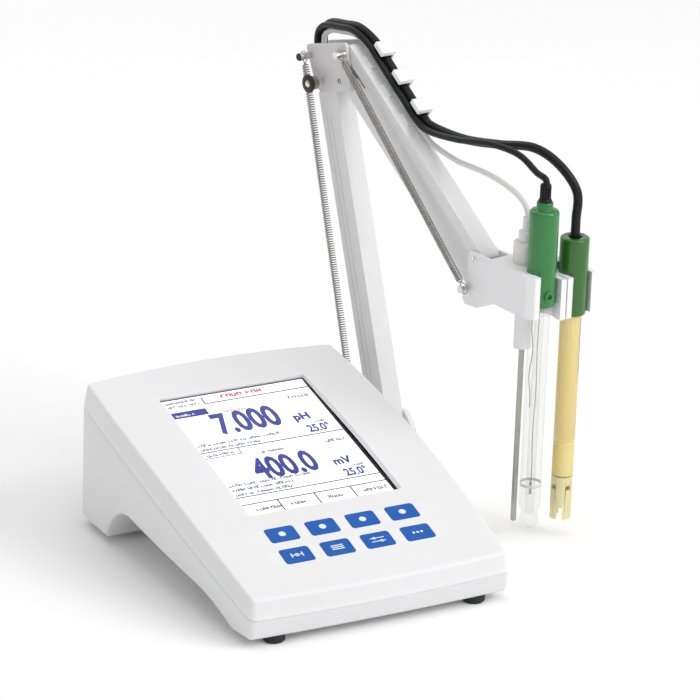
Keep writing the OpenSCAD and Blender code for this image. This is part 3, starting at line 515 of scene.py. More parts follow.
def case_skin(name, rings, low_cap, high_cap):
    """A closed bowl from rings of (inset, height, front_set), with a ladder of rows over both ends."""
    columns = 14
    verts, faces = [], band_faces(len(rings), LOOP_N)
    for inset, height, front_set in rings:
        verts += [loop_point(i, inset, height, front_set) for i in range(LOOP_N)]
    half = LOOP_N // 2
    for base, height, flip in ((0, low_cap, True), ((len(rings) - 1) * LOOP_N, high_cap, False)):
        rows = [[base]]
        for i in range(1, half):
            right, left = base + i, base + LOOP_N - i
            row = [right]
            for k in range(1, columns):
                v = verts[right].lerp(verts[left], k / columns)
                verts.append(Vector((v.x, v.y, height(v.y))))
                row.append(len(verts) - 1)
            rows.append(row + [left])
        rows.append([base + half])
        for a, b in zip(rows, rows[1:]):
            for k in range(columns):
                # the first and the last row are single points, so the quads on them are triangles
                corners = ((a, k), (b, k), (b, k + 1), (a, k + 1))
                face = tuple(dict.fromkeys(row[min(c, len(row) - 1)] for row, c in corners))
                if len(face) > 2:
                    faces.append(tuple(reversed(face)) if flip else face)
    return mesh_object(name, verts, faces, 50)


def upper_shell():
    """The top cover: drafted sides, a rolled edge all round and the crowned deck with its openings."""
    lip = lambda y: seam_z(y) + 0.12
    rings = [(8.0, lambda y: deck_z(y) - WALL, 0), (4.9, lambda y: deck_z(y) - WALL - 2.4, 0)]
    rings += [(WALL, lip, 0), (0.22, lip, 0), (0.0, lambda y: seam_z(y) + 0.36, 0)]
    for f in (0.35, 0.7):
        rings.append((SIDE_DRAFT * f, lambda y, f=f: seam_z(y) * (1 - f) + (deck_z(y) - EDGE_R) * f, 0))
    for k in range(9):
        a = math.pi / 2 * k / 8
        rings.append((
            SIDE_DRAFT + EDGE_R * (1 - math.cos(a)),
            lambda y, a=a: deck_z(y) - EDGE_R * (1 - math.sin(a)),
            0,
        ))
    obj = case_skin("upper_case_shell", rings, lambda y: deck_z(y) - WALL, deck_z)
    cut(obj, *window_cutter())
    for i in range(8):
        x, y = key_centre(i)
        outline = rounded_rect(x, y, KEY_W + 0.3, KEY_L + 0.3, 1.9)
        cut(obj, *prism_geometry(outline, deck_point, crown(y) - 9, crown(y) + 9))
    return fit(obj, "case", "case", "upper_case")


WINDOW = (0.0, 17.2, 90.0, 121.0)


def window_cutter():
    """The display opening, wider at the deck than at the glass."""
    x, y, w, h = WINDOW
    levels = [(-14, 0.2), (1.25, 0.2), (4.6, 3.3), (12, 3.3)]
    verts = []
    for z, grow in levels:
        outline = rounded_rect(x, y, w + grow, h + grow * 0.75, 1.2 + grow * 0.3)
        verts += [deck_point(px, py, z) for px, py in outline]
    return verts, closed_band(len(levels), len(verts) // len(levels))


def lower_shell():
    """The bottom tray with the tunnel under it and the rear leg."""
    lip = lambda y: seam_z(y) - 0.12
    inner = lambda y: min(under_z(y) + WALL, seam_z(y) - 2)
    edge = 1.8
    rings = [(WALL + 1.2, inner, 0), (WALL, lambda y: min(inner(y) + 1.5, seam_z(y) - 1), 0), (WALL, lip, 0)]
    rings += [(0.22, lip, 0), (0.0, lambda y: seam_z(y) - 0.36, 0)]
    for f in (0.3, 0.65, 1.0):
        rings.append((0.7 * f, lambda y, f=f: seam_z(y) * (1 - f) + (under_z(y) + edge) * f, 1.9 * f))
    for k in range(1, 6):
        a = math.pi / 2 * k / 5
        rings.append((
            0.7 + edge * (1 - math.cos(a)),
            lambda y, a=a: under_z(y) + edge * (1 - math.sin(a)),
            1.9,
        ))
    obj = case_skin("lower_case_shell", rings, inner, under_z)
    return fit(obj, "case", "case", "lower_case")


# ---------- keys and display ----------

KEY_W, KEY_L = 17.2, 12.2


def key_centre(i):
    return 24.15 * (i % 4 - 1.5), -63.8 - 18.7 * (i // 4)


def key_caps():
    """Blue key caps with round corners, and a generic white mark on each."""
    for i in range(8):
        x, y = key_centre(i)
        body = f"key_{i + 1}_body"
        top = crown(y) + 0.25
        tilt = lambda px, py, pz, y=y: deck_point(px, py, pz - y / CROWN_R * (py - y))
        outline = rounded_rect(x, y, KEY_W, KEY_L, 1.8)
        cap = mesh_object(f"key_{i + 1}_cap", *prism_geometry(outline, tilt, top - 4.2, top, 0.3))
        fit(cap, "key", body, f"key_{i + 1}")
        marks = []
        for outline in key_mark(i, x, y):
            marks.append(prism_geometry(outline, tilt, top - 0.05, top + 0.05))
        mark = mesh_object(f"key_{i + 1}_mark", *join_geometry(marks))
        fit(mark, "legend", body)


def disc(x, y, r, sides=32):
    turns = [2 * math.pi * k / sides for k in range(sides)]
    return [(x + r * math.cos(a), y + r * math.sin(a)) for a in turns]


def bar(x, y, w, h):
    return [(x + kx * w / 2, y + ky * h / 2) for kx, ky in ((-1, -1), (1, -1), (1, 1), (-1, 1))]


def key_mark(i, x, y):
    """A dot on the four upper keys; a target, stacked bars, sliders and a dotted line on the lower ones."""
    if i < 4:
        return [disc(x, y, 2.0)]
    if i == 4:
        return [bar(x - 3.2, y, 0.7, 3.6), bar(x + 3.2, y, 0.7, 3.6), bar(x, y, 5.7, 0.7), disc(x, y, 1.3)]
    if i == 5:
        return [bar(x, y + k * 1.5, 7.2, 0.75) for k in (-1, 0, 1)]
    if i == 6:
        rails = [bar(x, y + k * 1.4, 8.4, 0.6) for k in (-1, 1)]
        return rails + [disc(x + k * 1.8, y - k * 1.4, 1.0) for k in (-1, 1)]
    return [disc(x + k * 2.4, y, 0.8) for k in (-1, 0, 1)]


SCREEN_Z = 0.24


def screen_layer(name, outlines, key, lift):
    """Flat printed shapes of one colour on the display, slightly thicker than the layer below."""
    parts = [prism_geometry(o, deck_point, SCREEN_Z + lift - 0.02, SCREEN_Z + lift) for o in outlines]
    obj = mesh_object(name, *join_geometry(parts))
    return fit(obj, key, "case")


def screen_text(name, text, x, y, size, bold, squeeze):
    """Digits and unit signs on the display, made into a mesh that lies in the deck's plane."""
    curve = bpy.data.curves.new(name, "FONT")
    curve.body = text
    curve.size = size
    curve.offset = bold
    curve.extrude = 0.01
    curve.resolution_u = 3
    source = bpy.data.objects.new(name + "_source", curve)
    bpy.context.scene.collection.objects.link(source)
    bpy.context.view_layer.update()
    flat = bpy.data.meshes.new_from_object(source.evaluated_get(bpy.context.evaluated_depsgraph_get()))
    verts = [deck_point(x + v.co.x * squeeze, y + v.co.y, SCREEN_Z + 0.05 + v.co.z) for v in flat.vertices]
    faces = [tuple(f.vertices) for f in flat.polygons]
    bpy.data.objects.remove(source)
    bpy.data.meshes.remove(flat)
    obj = mesh_object(name, verts, faces)
    return fit(obj, "ink", "case")


def word_row(x, y, letters, size=1.5):
    """A line of small blocks that reads as text from a distance but spells nothing."""
    outlines = []
    for count in letters:
        for _ in range(count):
            tall = size * random.choice((0.75, 0.75, 1.0, 1.15))
            wide = size * 0.24
            outlines.append(bar(x, y + tall / 2, wide, tall))
            outlines.append(bar(x + size * 0.3, y + random.choice((0.1, 0.5, 0.9)) * tall, size * 0.5, wide))
            if random.random() < 0.6:
                outlines.append(bar(x + size * 0.52, y + tall / 2, wide, tall))
            x += size * 0.85
        x += size * 0.6
    return outlines


def display():
    """A two-channel reading: a title line, two large values with small notes, and a row of soft keys."""
    x, y, w, h = WINDOW
    left, right = x - w / 2 + 1.4, x + w / 2 - 1.4
    top, bottom = y + h / 2 - 1.2, y - h / 2 + 1.0
    centre_x, centre_y = (left + right) / 2, (top + bottom) / 2
    screen_layer("display_area", [bar(centre_x, centre_y, right - left, top - bottom)], "screen", 0.0)
    line = 0.75
    title_x, title_y = -20.3, 68.2
    split_y, foot_y, keys_y = 22.8, -22.5, -29.6
    tab_x, tab_y = -21.7, 17.0
    rules = [bar((right + title_x) / 2, title_y, right - title_x, line), bar(title_x, title_y + 3, line, 6)]
    rules += [bar(centre_x, rule_y, right - left, line) for rule_y in (split_y, foot_y, keys_y)]
    rules += [bar(rule_x, (keys_y + bottom) / 2, line, bottom - keys_y) for rule_x in (-22.5, -0.3, 21.7)]
    rules.append(bar((left + tab_x) / 2, tab_y, tab_x - left, line * 0.7))
    rules.append(bar(tab_x, (split_y + tab_y) / 2, line * 0.7, split_y - tab_y))
    screen_layer("display_rules", rules, "rule", 0.05)
    screen_layer("display_tab", [bar((left - 22.5) / 2, 61.2, -22.5 - left, 6.0)], "ink", 0.05)
    notes = word_row(left + 2, 59.9, (7, 1))
    screen_layer("display_tab_note", notes, "screen", 0.08)
    soft = word_row(left + 1, 72.6, (8, 2), 2.1) + word_row(left + 1, 68.6, (3, 3, 4), 2.1)
    soft += word_row(28.0, 59.5, (6,), 2.4) + word_row(31.5, 33.4, (4,), 1.8)
    soft += word_row(left + 1.2, 28.6, (4, 4, 3, 2, 4, 5), 2.3) + word_row(left + 1.2, 24.4, (8, 5, 4), 2.3)
    soft += word_row(left + 2, 18.2, (7, 1), 2.2)
    soft += word_row(29.0, 13.2, (6,), 2.4) + word_row(33.5, -12.0, (4,), 1.8)
    soft += word_row(left + 1.2, -12.2, (4, 4, 3, 2, 4, 5), 2.3) + word_row(left + 1.2, -16.6, (4, 8, 6), 2.3)
    soft += word_row(left + 1.2, -20.9, (6, 5, 5), 2.3)
    for cx, letters in ((-37.5, (7,)), (-16.5, (4,)), (6.1, (4,)), (27.5, (7,))):
        soft += word_row(cx, -36.8, letters, 2.6)
    screen_layer("display_notes", soft, "ink_soft", 0.06)
    screen_layer("display_title", word_row(-8.5, 71.2, (4, 3), 3.9), "red", 0.06)
    screen_layer("display_alert", word_row(-13.5, 57.0, (2, 6), 1.9), "red", 0.06)
    screen_layer("display_profile", word_row(-11.0, 13.8, (2, 6), 1.9), "ink_soft", 0.06)
    screen_text("display_value_1", "7.000", -24.6, 37.6, 27.5, 0.85, 0.64)
    screen_text("display_value_2", "400.0", -22.4, -9.2, 27.0, 0.85, 0.62)
    screen_text("display_unit_1", "pH", 21.5, 38.4, 9.0, 0.38, 0.9)
    screen_text("display_unit_2", "mV", 23.5, -8.2, 9.0, 0.38, 0.85)
    screen_text("display_temp_1", "25.0°", 24.5, 25.4, 9.5, 0.3, 0.68)
    screen_text("display_temp_2", "25.0°", 25.0, -20.0, 9.5, 0.3, 0.68)


# ---------- arm ----------

PIN = Vector((105.3, 75.0, 0.0))
TURN = math.radians(9)
U = Vector((math.sin(TURN), -math.cos(TURN), 0))
N = Vector((math.cos(TURN), math.sin(TURN), 0))
Z = Vector((0, 0, 1))
LEAN = math.radians(14.1)
DROP = math.radians(38)
HEAD_TILT = math.radians(4)
LOWER_LEN, UPPER_LEN = 204.0, 152.0


def arm_point(s, w, z):
    return PIN + U * s + N * w + Z * z


def in_plane(s, z):
    """A point or a step in the arm's upright plane."""
    return Vector((s, z))


def placed(origin, turn, k, d):
    """The point k along a line that is turned down from level, and d above it."""
    along, above = in_plane(math.cos(turn), -math.sin(turn)), in_plane(math.sin(turn), math.cos(turn))
    return origin + k * along + d * above


SHOULDER = in_plane(-4.6, 36)
ELBOW = placed(SHOULDER, -LEAN, 0, LOWER_LEN)
UPPER_PIVOT = ELBOW + in_plane(21.5, 20)
LINK_OFF = in_plane(-5.1, -17)
HEAD_PIVOT = placed(UPPER_PIVOT, DROP, UPPER_LEN, 0)
BACK_POST = ELBOW + in_plane(-11.7, 13)
BASE_POST = in_plane(-17.5, 29)


def lower_point(k, d, w):
    p = placed(SHOULDER, -LEAN, d, k)
    return arm_point(p.x, w, p.y)


def upper_point(k, d, w):
    p = placed(UPPER_PIVOT, DROP, k, d)
    return arm_point(p.x, w, p.y)


def head_point(a, w, c):
    p = placed(HEAD_PIVOT, HEAD_TILT, a, c)
    return arm_point(p.x, w, p.y)


def coil_path(start, end, loop, radius, pitch, steps=9):
    """Centre line of a close-wound spring with a hook at each end."""
    axis = (end - start).normalized()
    side = axis.cross(N).normalized()
    length = (end - start).length - 2 * loop
    turns = round(length / pitch)
    path = []
    for i in range(turns * steps + 1):
        a = 2 * math.pi * i / steps
        ramp = min(1.0, i / steps, (turns * steps - i) / steps)
        r = radius * (0.35 + 0.65 * ramp)
        reach = axis * (loop + length * i / (turns * steps))
        path.append(start + reach + r * (math.cos(a) * side + math.sin(a) * N))
    return path


def hook_path(post, towards, loop):
    """A wire loop round a post, closed by the first coil."""
    axis = (towards - post).normalized()
    side = axis.cross(N).normalized()
    eye = loop - 1.2
    path = [post + axis * (loop + 0.4) + side * 0.5]
    for k in range(15):
        a = math.radians(20 + 320 * k / 14)
        path.append(post + eye * (math.cos(a) * axis + math.sin(a) * side))
    path.append(post + axis * (loop + 0.4) - side * 0.5)
    return path


def spring(name, start, end, bodies, radius, wire, node, low_share, high_share):
    """One spring. Its middle rides the arm member it lies along; an end with a share is a separate piece left
    where it is made, tied to no body.
    """
    loop = 4.2
    path = coil_path(start, end, loop, radius, wire * 2.05)
    last = len(path) - 1
    i0, i1 = round(last * low_share), round(last * (1 - high_share))
    low, high = start.lerp(end, low_share), start.lerp(end, 1 - high_share)
    stretches = [("middle", [path[i0:i1 + 1]], (bodies[1],), None, None)]
    if low_share:
        stretches.append(("low", [path[:i0 + 1], hook_path(start, end, loop)], bodies[:2], start, low))
    else:
        stretches[0][1].append(hook_path(start, end, loop))
    stretches.append(("high", [path[i1:], hook_path(end, start, loop)], bodies[1:], high, end))
    for label, curves, follow, p, q in stretches:
        parts = [tube_geometry(c, [wire / 2] * len(c), 6) for c in curves]
        obj = mesh_object(f"{name}_{label}", *join_geometry(parts), 60)
        dress(obj, "spring")
        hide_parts(node)
        if p is None:
            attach(obj, *follow)
        else:
            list(follow)
            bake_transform(obj)


def springs():
    low = HEAD_PIVOT + LINK_OFF
    for side, k in (("near", -1), ("far", 1)):
        spring(
            f"lower_spring_{side}", arm_point(BASE_POST.x, 12.8 * k, BASE_POST.y),
            arm_point(BACK_POST.x, 12.8 * k, BACK_POST.y), ("swivel", "lower_arm_body", "elbow"), 1.9, 0.66,
            "lower_springs", 0.2, 0.2,
        )
        spring(
            f"upper_spring_{side}", arm_point(UPPER_PIVOT.x, 11.5 * k, UPPER_PIVOT.y),
            arm_point(low.x, 11.5 * k, low.y), ("elbow", "upper_arm_body", "head"), 1.85, 0.64,
            "upper_springs", 0.0, 0.25,
        )


def elbow_knob():
    """The tension knob, a smoky sleeve under a black disc with a bright centre, and the posts' black ends."""
    def place(x, y, z):
        return arm_point(ELBOW.x + y, z, ELBOW.y + x)

    sleeve = [(0, -17.4), (3.7, -17.4), (4.0, -17.1), (4.0, -13.6), (3.8, -13.3), (0, -13.3)]
    disc_profile = [
        (0, -19.1), (2.3, -19.1), (2.4, -19.4), (4.5, -19.4), (5.0, -19.2), (5.2, -18.8), (5.2, -17.8),
        (5.0, -17.3), (4.6, -17.2), (0, -17.2),
    ]
    centre = [(0, -19.5), (1.5, -19.5), (1.9, -19.3), (2.1, -19.0), (0, -19.0)]
    turned = (("sleeve", sleeve, "smoke"), ("disc", disc_profile, "black"), ("centre", centre, "nickel"))
    for name, profile, key in turned:
        obj = mesh_object(f"knob_{name}", *lathe_geometry(profile, place, 48), 40)
        fit(obj, key, "knob", None if name == "centre" else "tension_knob")
    for side, k in (("near", -1), ("far", 1)):
        def post(x, y, z, k=k):
            return arm_point(BACK_POST.x + k * y, -k * z, BACK_POST.y + x)

        end = [(0, -17.2), (1.8, -17.2), (2.2, -16.8), (2.3, -16.4), (0, -16.4)]
        cover = mesh_object(f"post_end_{side}", *lathe_geometry(end, post, 32), 40)
        fit(cover, "black", "elbow")


# ---------- cables ----------

SOCKET_Z = 42.0
PH_A, PH_W, COND_W = 41.5, 5.8, 28.3
TEMP_A, TEMP_W = 25.4, 7.8
PH_TOP, COND_TOP, HEAD_TOP = 44.0, 20.0, 4.0


def curve_through(points, steps=10):
    """A smooth curve through points, and the index of each given point in it."""
    out, marks = [], []
    n = len(points)
    for i in range(n - 1):
        a, b, c, d = points[max(i - 1, 0)], points[i], points[i + 1], points[min(i + 2, n - 1)]
        marks.append(len(out))
        for k in range(steps):
            t = k / steps
            bend = t * t * (2 * a - 5 * b + 4 * c - d) + t ** 3 * (3 * b - a - 3 * c + d)
            out.append(0.5 * (2 * b + t * (c - a) + bend))
    marks.append(len(out))
    out.append(points[-1])
    return out, marks


def cable_start(x, r, row, back, top):
    """The part of a cable's way that all three share: floor, lower arm, elbow loop and upper arm.

    row is its place on the floor; back and top are its sideways place on the lower and the upper arm and its
    distance from them.
    """
    points = [
        Vector((x, HALF_L + 6, SOCKET_Z)), Vector((x + 3, HALF_L + 19, SOCKET_Z - 6)),
        Vector((x + 10, HALF_L + 24 + row, 14)), Vector((x + 24, HALF_L + 20 + row, r + 1.2)),
        Vector(((x + PIN.x) / 2 + 20, HALF_L + 16 + row, r + 1.2)),
        arm_point(-52 - 0.8 * row, 1.5 * row + 2, r + 1.6),
        arm_point(-23 - back[1], (row + 2 + back[0]) / 2, 14),
    ]
    points += [lower_point(k, -back[1], back[0]) for k in range(14, 175, 32)]
    points += [
        lower_point(196, -back[1] - 0.6, back[0]),
        arm_point(ELBOW.x - 9 - top[1], (2 * back[0] + top[0]) / 3, ELBOW.y + 17),
        arm_point(ELBOW.x - 2.4 - 1.05 * top[1], (back[0] + top[0]) / 2, ELBOW.y + 18.6 + 0.88 * top[1]),
        arm_point(ELBOW.x + 4, (back[0] + 4 * top[0]) / 5, ELBOW.y + 20.2 + top[1]),
        arm_point(ELBOW.x + 17, top[0], ELBOW.y + 20.6 + top[1]),
    ]
    return points + [upper_point(k, top[1], top[0]) for k in (4, 22, 42, 60)]


# the control points between which each stretch of a cable runs, and the bodies it lies on; a stretch with one
# body follows it
STRETCHES = (
    ("floor", 0, 4, ("case",)),
    ("turn", 4, 6, ("case", "swivel")),
    ("rise", 6, 8, ("swivel", "lower_arm_body")),
    ("back", 8, 12, ("lower_arm_body",)),
    ("elbow_in", 12, 15, ("lower_arm_body", "elbow")),
    ("elbow_out", 15, 18, ("elbow", "upper_arm_body")),
    ("top", 18, 21, ("upper_arm_body",)),
    ("free", 21, None, ("upper_arm_body", "head")),
)


def cable(name, points, radius, key, node):
    """A cable in stretches that share their end rings; a stretch on one body follows it, the others stay
    where they are made.
    """
    path, marks = curve_through(points)
    ring = 16
    verts, _ = tube_geometry(path, [radius] * len(path), ring)
    for label, first, last, bodies in STRETCHES:
        i0 = marks[first]
        i1 = marks[-1 if last is None else last]
        stretch = verts[i0 * ring:(i1 + 1) * ring]
        obj = mesh_object(f"{name}_{label}", stretch, closed_band(i1 - i0 + 1, ring), 60)
        dress(obj, key)
        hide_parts(node)
        if len(bodies) == 1:
            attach(obj, bodies[0])
        else:
            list(bodies)
            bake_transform(obj)


def cables():
    ph = cable_start(-58, 1.85, -3.2, (3, 17), (1.2, 10.9)) + [
        arm_point(34, 0, 221.5), arm_point(60, 0, 222), arm_point(86, 3, 224.6), arm_point(108, PH_W, 222.6),
        arm_point(124, PH_W, 216), head_point(PH_A, PH_W, PH_TOP + 12), head_point(PH_A, PH_W, PH_TOP + 3),
        head_point(PH_A, PH_W, PH_TOP - 9.5),
    ]
    cable("ph_cable", ph, 1.85, "cable", "ph_cable")
    conductivity = cable_start(-10, 2.6, 5.4, (7.7, 17.7), (6.3, 11.4)) + [
        arm_point(31, 6.4, 222), arm_point(56, 9, 219.8), arm_point(82, 13, 221.6), arm_point(106, 18, 224),
        arm_point(122, 23, 217), arm_point(131, COND_W, 203), head_point(PH_A, COND_W, COND_TOP + 10),
        head_point(PH_A, COND_W, COND_TOP + 2), head_point(PH_A, COND_W, COND_TOP - 7.4),
    ]
    cable("conductivity_cable", conductivity, 2.6, "cable", "conductivity_cable")
    temperature = cable_start(-28, 1.6, 0.7, (5.6, 13.3), (3.5, 7.8)) + [
        upper_point(76, 7.8, 4.4), arm_point(52, 6, 207.4), arm_point(66, 5.5, 206.8),
        arm_point(80, 6, 205.8), arm_point(92, 6.8, 203.4), arm_point(101.5, 7.3, 200.6),
        arm_point(108.6, TEMP_W, 197), arm_point(112.8, TEMP_W, 193.2),
    ]
    temperature += [head_point(TEMP_A, TEMP_W, HEAD_TOP + z) for z in (26.5, 23, 19.5)]
    cable("temperature_cable", temperature, 1.6, "cable_white", "temperature_cable")


# ---------- probes ----------

def probe_place(a, w):
    """A local frame on a probe's axis in the head, with z along the probe."""
    f = arm_direction(math.cos(HEAD_TILT), -math.sin(HEAD_TILT))
    up = arm_direction(math.sin(HEAD_TILT), math.cos(HEAD_TILT))
    base = head_point(a, w, 0)
    return lambda x, y, z: base + f * x + N * y + up * z


def arm_direction(s, z):
    return U * s + Z * z


PH_LOW = -15.4
PH_LEN = 133.1


def ph_probe():
    """Clear glass body with a round sensing bulb, an inner tube, its wires and a fill collar."""
    place = probe_place(PH_A, PH_W)
    low = PH_LOW - PH_LEN
    outer = [(0, low)]
    outer += [(5.3 * math.sin(a), low + 5.3 * (1 - math.cos(a))) for a in (0.35, 0.7, 1.05, 1.4, 1.75)]
    outer += [(4.6, low + 9.6), (4.9, low + 11.4), (5.8, low + 13.2), (6.0, low + 15), (6.0, PH_LOW + 9)]
    glass = mesh_object("ph_glass_body", *lathe_geometry(outer + [(0, PH_LOW + 9)], place, 72), 60)
    fit(glass, "glass", "head", "ph_glass")
    tube = [(0, low + 8.6), (2.6, low + 9), (2.6, PH_LOW + 9), (0, PH_LOW + 9)]
    inner_tube = mesh_object("ph_inner_tube", *lathe_geometry(tube, place, 32), 60)
    fit(inner_tube, "glass", "head", "ph_element")
    wires = []
    for dx, dy, z0, bow in ((0.0, 0.0, low + 26, 0.2), (-3.7, -1.2, PH_LOW - 62, 0.5)):
        path = []
        for k in range(25):
            z = z0 + (PH_LOW + 8 - z0) * k / 24
            path.append(place(dx + bow * math.sin(k * 0.7), dy + bow * math.cos(k * 0.5), z))
        wires.append(tube_geometry(path, [0.28] * len(path), 8))
    tip = [(0, low + 20), (0.7, low + 20.4), (0.8, low + 27), (0.3, low + 28), (0, low + 28)]
    wires.append(lathe_geometry(tip, place, 16))
    wire = mesh_object("ph_wires", *join_geometry(wires), 60)
    fit(wire, "wire", "head")
    collar = [(6.05, -5.2), (6.5, -4.8), (6.9, -0.2), (6.1, -0.1), (6.05, -5.2)]
    collar = [(radius, PH_LOW + z) for radius, z in collar]
    ring = mesh_object("ph_collar", *lathe_geometry(collar, place, 64), 60)
    fit(ring, "glass", "head")
    junction = [(6.02, 26), (6.12, 26.2), (6.12, 27.4), (6.02, 27.6), (6.02, 26)]
    junction = [(radius, low + z) for radius, z in junction]
    seal = mesh_object("ph_junction", *lathe_geometry(junction, place, 64), 60)
    fit(seal, "element", "head")


def ph_cap_piece():
    """The tall green cap: a barrel, a neck under the strain relief and a fill port whose hole holds painted
    shade, a black disc.
    """
    place = probe_place(PH_A, PH_W)
    r = 8.2
    profile = [
        (0, PH_LOW), (r - 0.7, PH_LOW), (r - 0.2, PH_LOW + 0.25), (r, PH_LOW + 0.8), (r, PH_TOP - 6.2),
        (r - 0.2, PH_TOP - 5.4), (r - 0.8, PH_TOP - 4.7), (r - 1.9, PH_TOP - 4.25), (5.0, PH_TOP - 4.1),
        (4.65, PH_TOP - 3.8), (4.6, PH_TOP - 3.3), (4.6, PH_TOP - 0.4), (4.3, PH_TOP), (0, PH_TOP),
    ]
    cap = mesh_object("ph_cap_body", *lathe_geometry(profile, place, 96), 50)
    fit(cap, "cap", "head", "ph_cap")
    turn = math.radians(-7)
    axis = Vector((math.cos(turn), math.sin(turn), 0))
    side = Vector((-math.sin(turn), math.cos(turn), 0))

    def port_place(x, y, z):
        p = axis * z + side * x
        return place(p.x, p.y, PH_LOW + 7 + y)

    rim = [
        (0, r - 2.5), (2.8, r - 2.5), (2.8, r + 0.7), (2.6, r + 1.2), (2.1, r + 1.4), (1.6, r + 1.3),
        (1.35, r + 0.9), (1.3, r - 1.5), (0, r - 1.5),
    ]
    port = mesh_object("ph_fill_port", *lathe_geometry(rim, port_place, 40), 50)
    fit(port, "cap", "head")
    # painted shade: a black disc below the port's rim stands in for the shade inside the fill hole
    hole = [(0, r - 1.8), (1.25, r - 1.8), (1.25, r - 0.6), (0, r - 0.6)]
    hole_shade = mesh_object("ph_fill_hole_shade", *lathe_geometry(hole, port_place, 32))
    fit(hole_shade, "black", "head")


def strain_relief():
    """The soft sleeve over the pH cable: a plain foot, then a neck with upright slots."""
    place = probe_place(PH_A, PH_W)
    sides, teeth = 96, 12
    verts = []
    # radius, height and whether the slots are cut there
    levels = [(3.7, 0, 0), (3.7, 1.1, 0), (3.3, 1.5, 0), (3.15, 2.0, 0), (3.15, 2.2, 1), (3.1, 8.7, 1)]
    levels += [(3.1, 8.9, 0), (3.0, 9.5, 0), (2.7, 10.0, 0), (1.9, 10.1, 0)]
    for r, z, slotted in levels:
        for k in range(sides):
            a = 2 * math.pi * k / sides
            deep = 0.55 * slotted if math.sin(teeth * a) < -0.3 else 0.0
            verts.append(place((r - deep) * math.cos(a), (r - deep) * math.sin(a), PH_TOP + z))
    sleeve = mesh_object("ph_cable_sleeve", verts, closed_band(len(levels), sides), 30)
    fit(sleeve, "cable", "head", "ph_strain_relief")


COND_LOW = -24.7
COND_LEN = 122


def conductivity_probe():
    """The short dark green cap and the amber rod with its vent slot; the slotted sleeve at its foot is the
    CAD part.
    """
    place = probe_place(PH_A, COND_W)
    r = 8.2
    cap_profile = [
        (0, COND_LOW), (r - 0.9, COND_LOW), (r - 0.25, COND_LOW + 0.3), (r, COND_LOW + 1.1),
        (r, COND_TOP - 1.4), (r - 0.3, COND_TOP - 0.5), (r - 1.1, COND_TOP), (4.2, COND_TOP),
        (3.9, COND_TOP - 0.3), (3.7, COND_TOP - 3), (0, COND_TOP - 3),
    ]
    cap = mesh_object("conductivity_cap_body", *lathe_geometry(cap_profile, place, 96), 50)
    fit(cap, "cap_dark", "head", "conductivity_cap")
    low = COND_LOW - COND_LEN
    rod = [(0, 26), (5.6, 26), (6, 26.4), (6, 43), (5.75, 43.3), (5.75, 44.1), (6, 44.4), (6, 46.2)]
    rod += [(5.75, 46.5), (5.75, 47.3), (6, 47.6), (6, COND_LEN + 9), (0, COND_LEN + 9)]
    rod = [(radius, low + z) for radius, z in rod]
    body = mesh_object("conductivity_rod", *lathe_geometry(rod, place, 72), 40)
    fit(body, "amber", "head", "conductivity_body")
    turn = math.radians(31)
    slot_place = lambda x, y, z: place(
        math.cos(turn) * z - math.sin(turn) * x, math.sin(turn) * z + math.cos(turn) * x, y
    )
    slot = prism_geometry(rounded_rect(0, COND_LOW - 19, 0.9, 33, 0.4), slot_place, 5.6, 6.06)
    vent = mesh_object("conductivity_vent", *slot)
    fit(vent, "wire", "head")


# ---------- the rest of the CAD nodes ----------

# material and edge rounding in millimetres
FINISHES = {
    "display_window": ("window", 0.15), "display_frame": ("black", 0.2), "display_panel": ("screen", 0.1),
    "keypad_mat": ("silicone", 0.2), "keypad_board": ("board", 0.1), "main_board": ("board", 0.1),
    "input_board": ("board", 0.1), "clock_battery": ("nickel", 0.3), "case_screws": ("steel", 0.1),
    "feet": ("rubber", 0.4), "ph_socket": ("nickel", 0.2), "reference_jack": ("brass", 0.15),
    "temperature_socket": ("black", 0.2), "conductivity_socket": ("black", 0.2),
    "usb_socket": ("nickel", 0.15), "serial_socket": ("nickel", 0.2), "power_jack": ("black", 0.2),
    "switch_frame": ("black", 0.25), "power_switch": ("black", 0.2), "base_plate": ("base", 0.35),
    "base_plate_screws": ("steel", 0.2),
    "base_plate_feet": ("rubber", 0.3), "swivel_post": ("steel", 0.3), "swivel_base": ("arm", 0.5),
    "shoulder_pins": ("steel", 0.25), "lower_arm": ("arm", 0.45), "lower_link": ("arm", 0.3),
    "elbow_bracket": ("plate", 0.35), "elbow_pins": ("nickel", 0.25),
    "upper_arm": ("arm", 0.45), "upper_link": ("arm", 0.6), "cable_clips": ("head", 0.3),
    "electrode_head": ("head", 0.5), "head_pins": ("nickel", 0.2),
    "conductivity_sleeve": ("amber_light", 0.2),
    "temperature_cap": ("probe_white", 0.25), "temperature_rod": ("rod", 0.15),
}


# the camera's place, and its pitch, roll and yaw in degrees
CAMERA_PLACE = (-950.18, -1939.75, 817.89)
CAMERA_TURN = (72.1299, 0.5106, -27.1965)


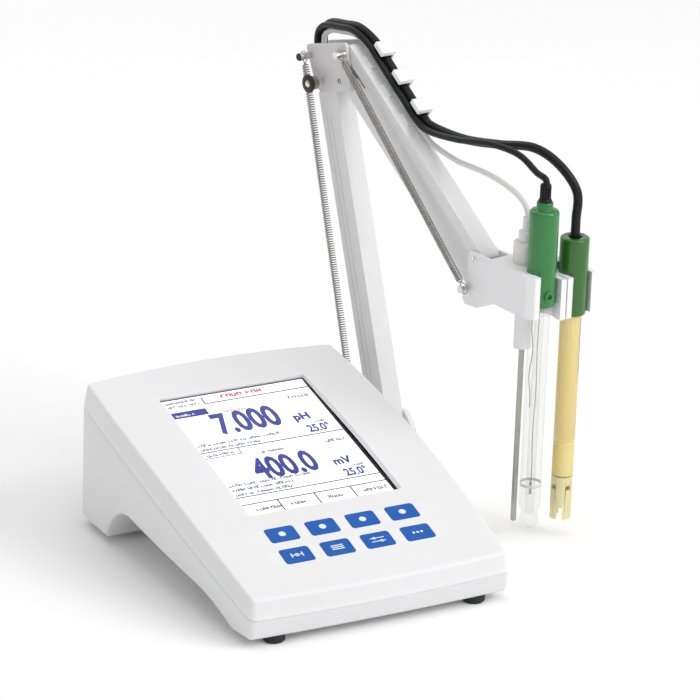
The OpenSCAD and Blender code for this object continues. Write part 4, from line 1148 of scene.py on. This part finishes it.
def stage_and_camera():
    """A wide pale floor, soft studio light and the camera at the photographed angle."""
    scene = bpy.context.scene
    reach = 9000
    corners = [(kx * reach, ky * reach, 0) for kx, ky in ((-1, -1), (1, -1), (1, 1), (-1, 1))]
    floor = mesh_object("studio_floor", corners, [(0, 1, 2, 3)])
    s = Shader("floor_paper")
    tone = s.tint(s.noise(6.0), (0.96, 0.96, 0.96), (0.985, 0.985, 0.985))
    paper = s.node("BsdfDiffuse", {"Color": tone, "Roughness": 0.6}).outputs[0]
    floor.data.materials.append(s.surface(paper))
    world = bpy.data.worlds.new("studio")
    world.use_nodes = True
    tree = world.node_tree
    background = tree.nodes["Background"]
    side = tree.nodes.new("ShaderNodeSeparateXYZ")
    level = tree.nodes.new("ShaderNodeMapRange")
    level.inputs["From Min"].default_value = -1.0
    level.inputs["To Min"].default_value = 0.47
    level.inputs["To Max"].default_value = 0.80
    tree.links.new(tree.nodes.new("ShaderNodeTexCoord").outputs["Generated"], side.inputs[0])
    tree.links.new(side.outputs["X"], level.inputs["Value"])
    tree.links.new(level.outputs[0], background.inputs["Strength"])
    background.inputs["Color"].default_value = (1, 1, 1, 1)
    scene.world = world
    scene.view_settings.view_transform = "Standard"
    for name, place, size, power in (
        ("key_light", (1.3, -1.7, 1.5), 1.4, 25.0), ("top_light", (0.1, -0.3, 2.2), 1.6, 9.0),
        ("back_light", (-0.3, 1.7, 1.5), 1.6, 8.0),
    ):
        light = bpy.data.lights.new(name, "AREA")
        light.size = size
        light.energy = power
        lamp = bpy.data.objects.new(name, light)
        lamp.location = place
        lamp.rotation_euler = (Vector((0.03, -0.02, 0.1)) - Vector(place)).to_track_quat("-Z", "Y").to_euler()
        scene.collection.objects.link(lamp)
    camera_data = bpy.data.cameras.new("camera")
    camera_data.lens = 214.1
    camera_data.clip_end = 60
    camera = bpy.data.objects.new("camera", camera_data)
    turn = Euler(map(math.radians, CAMERA_TURN))
    camera.matrix_world = Matrix.LocRotScale(Vector(CAMERA_PLACE) * MM, turn, None)
    scene.collection.objects.link(camera)
    scene.camera = camera


for node, (key, bevel) in FINISHES.items():
    finish_cad(node, key, bevel)
upper_shell()
lower_shell()
key_caps()
display()
springs()
elbow_knob()
cables()
ph_probe()
ph_cap_piece()
strain_relief()
conductivity_probe()
stage_and_camera()
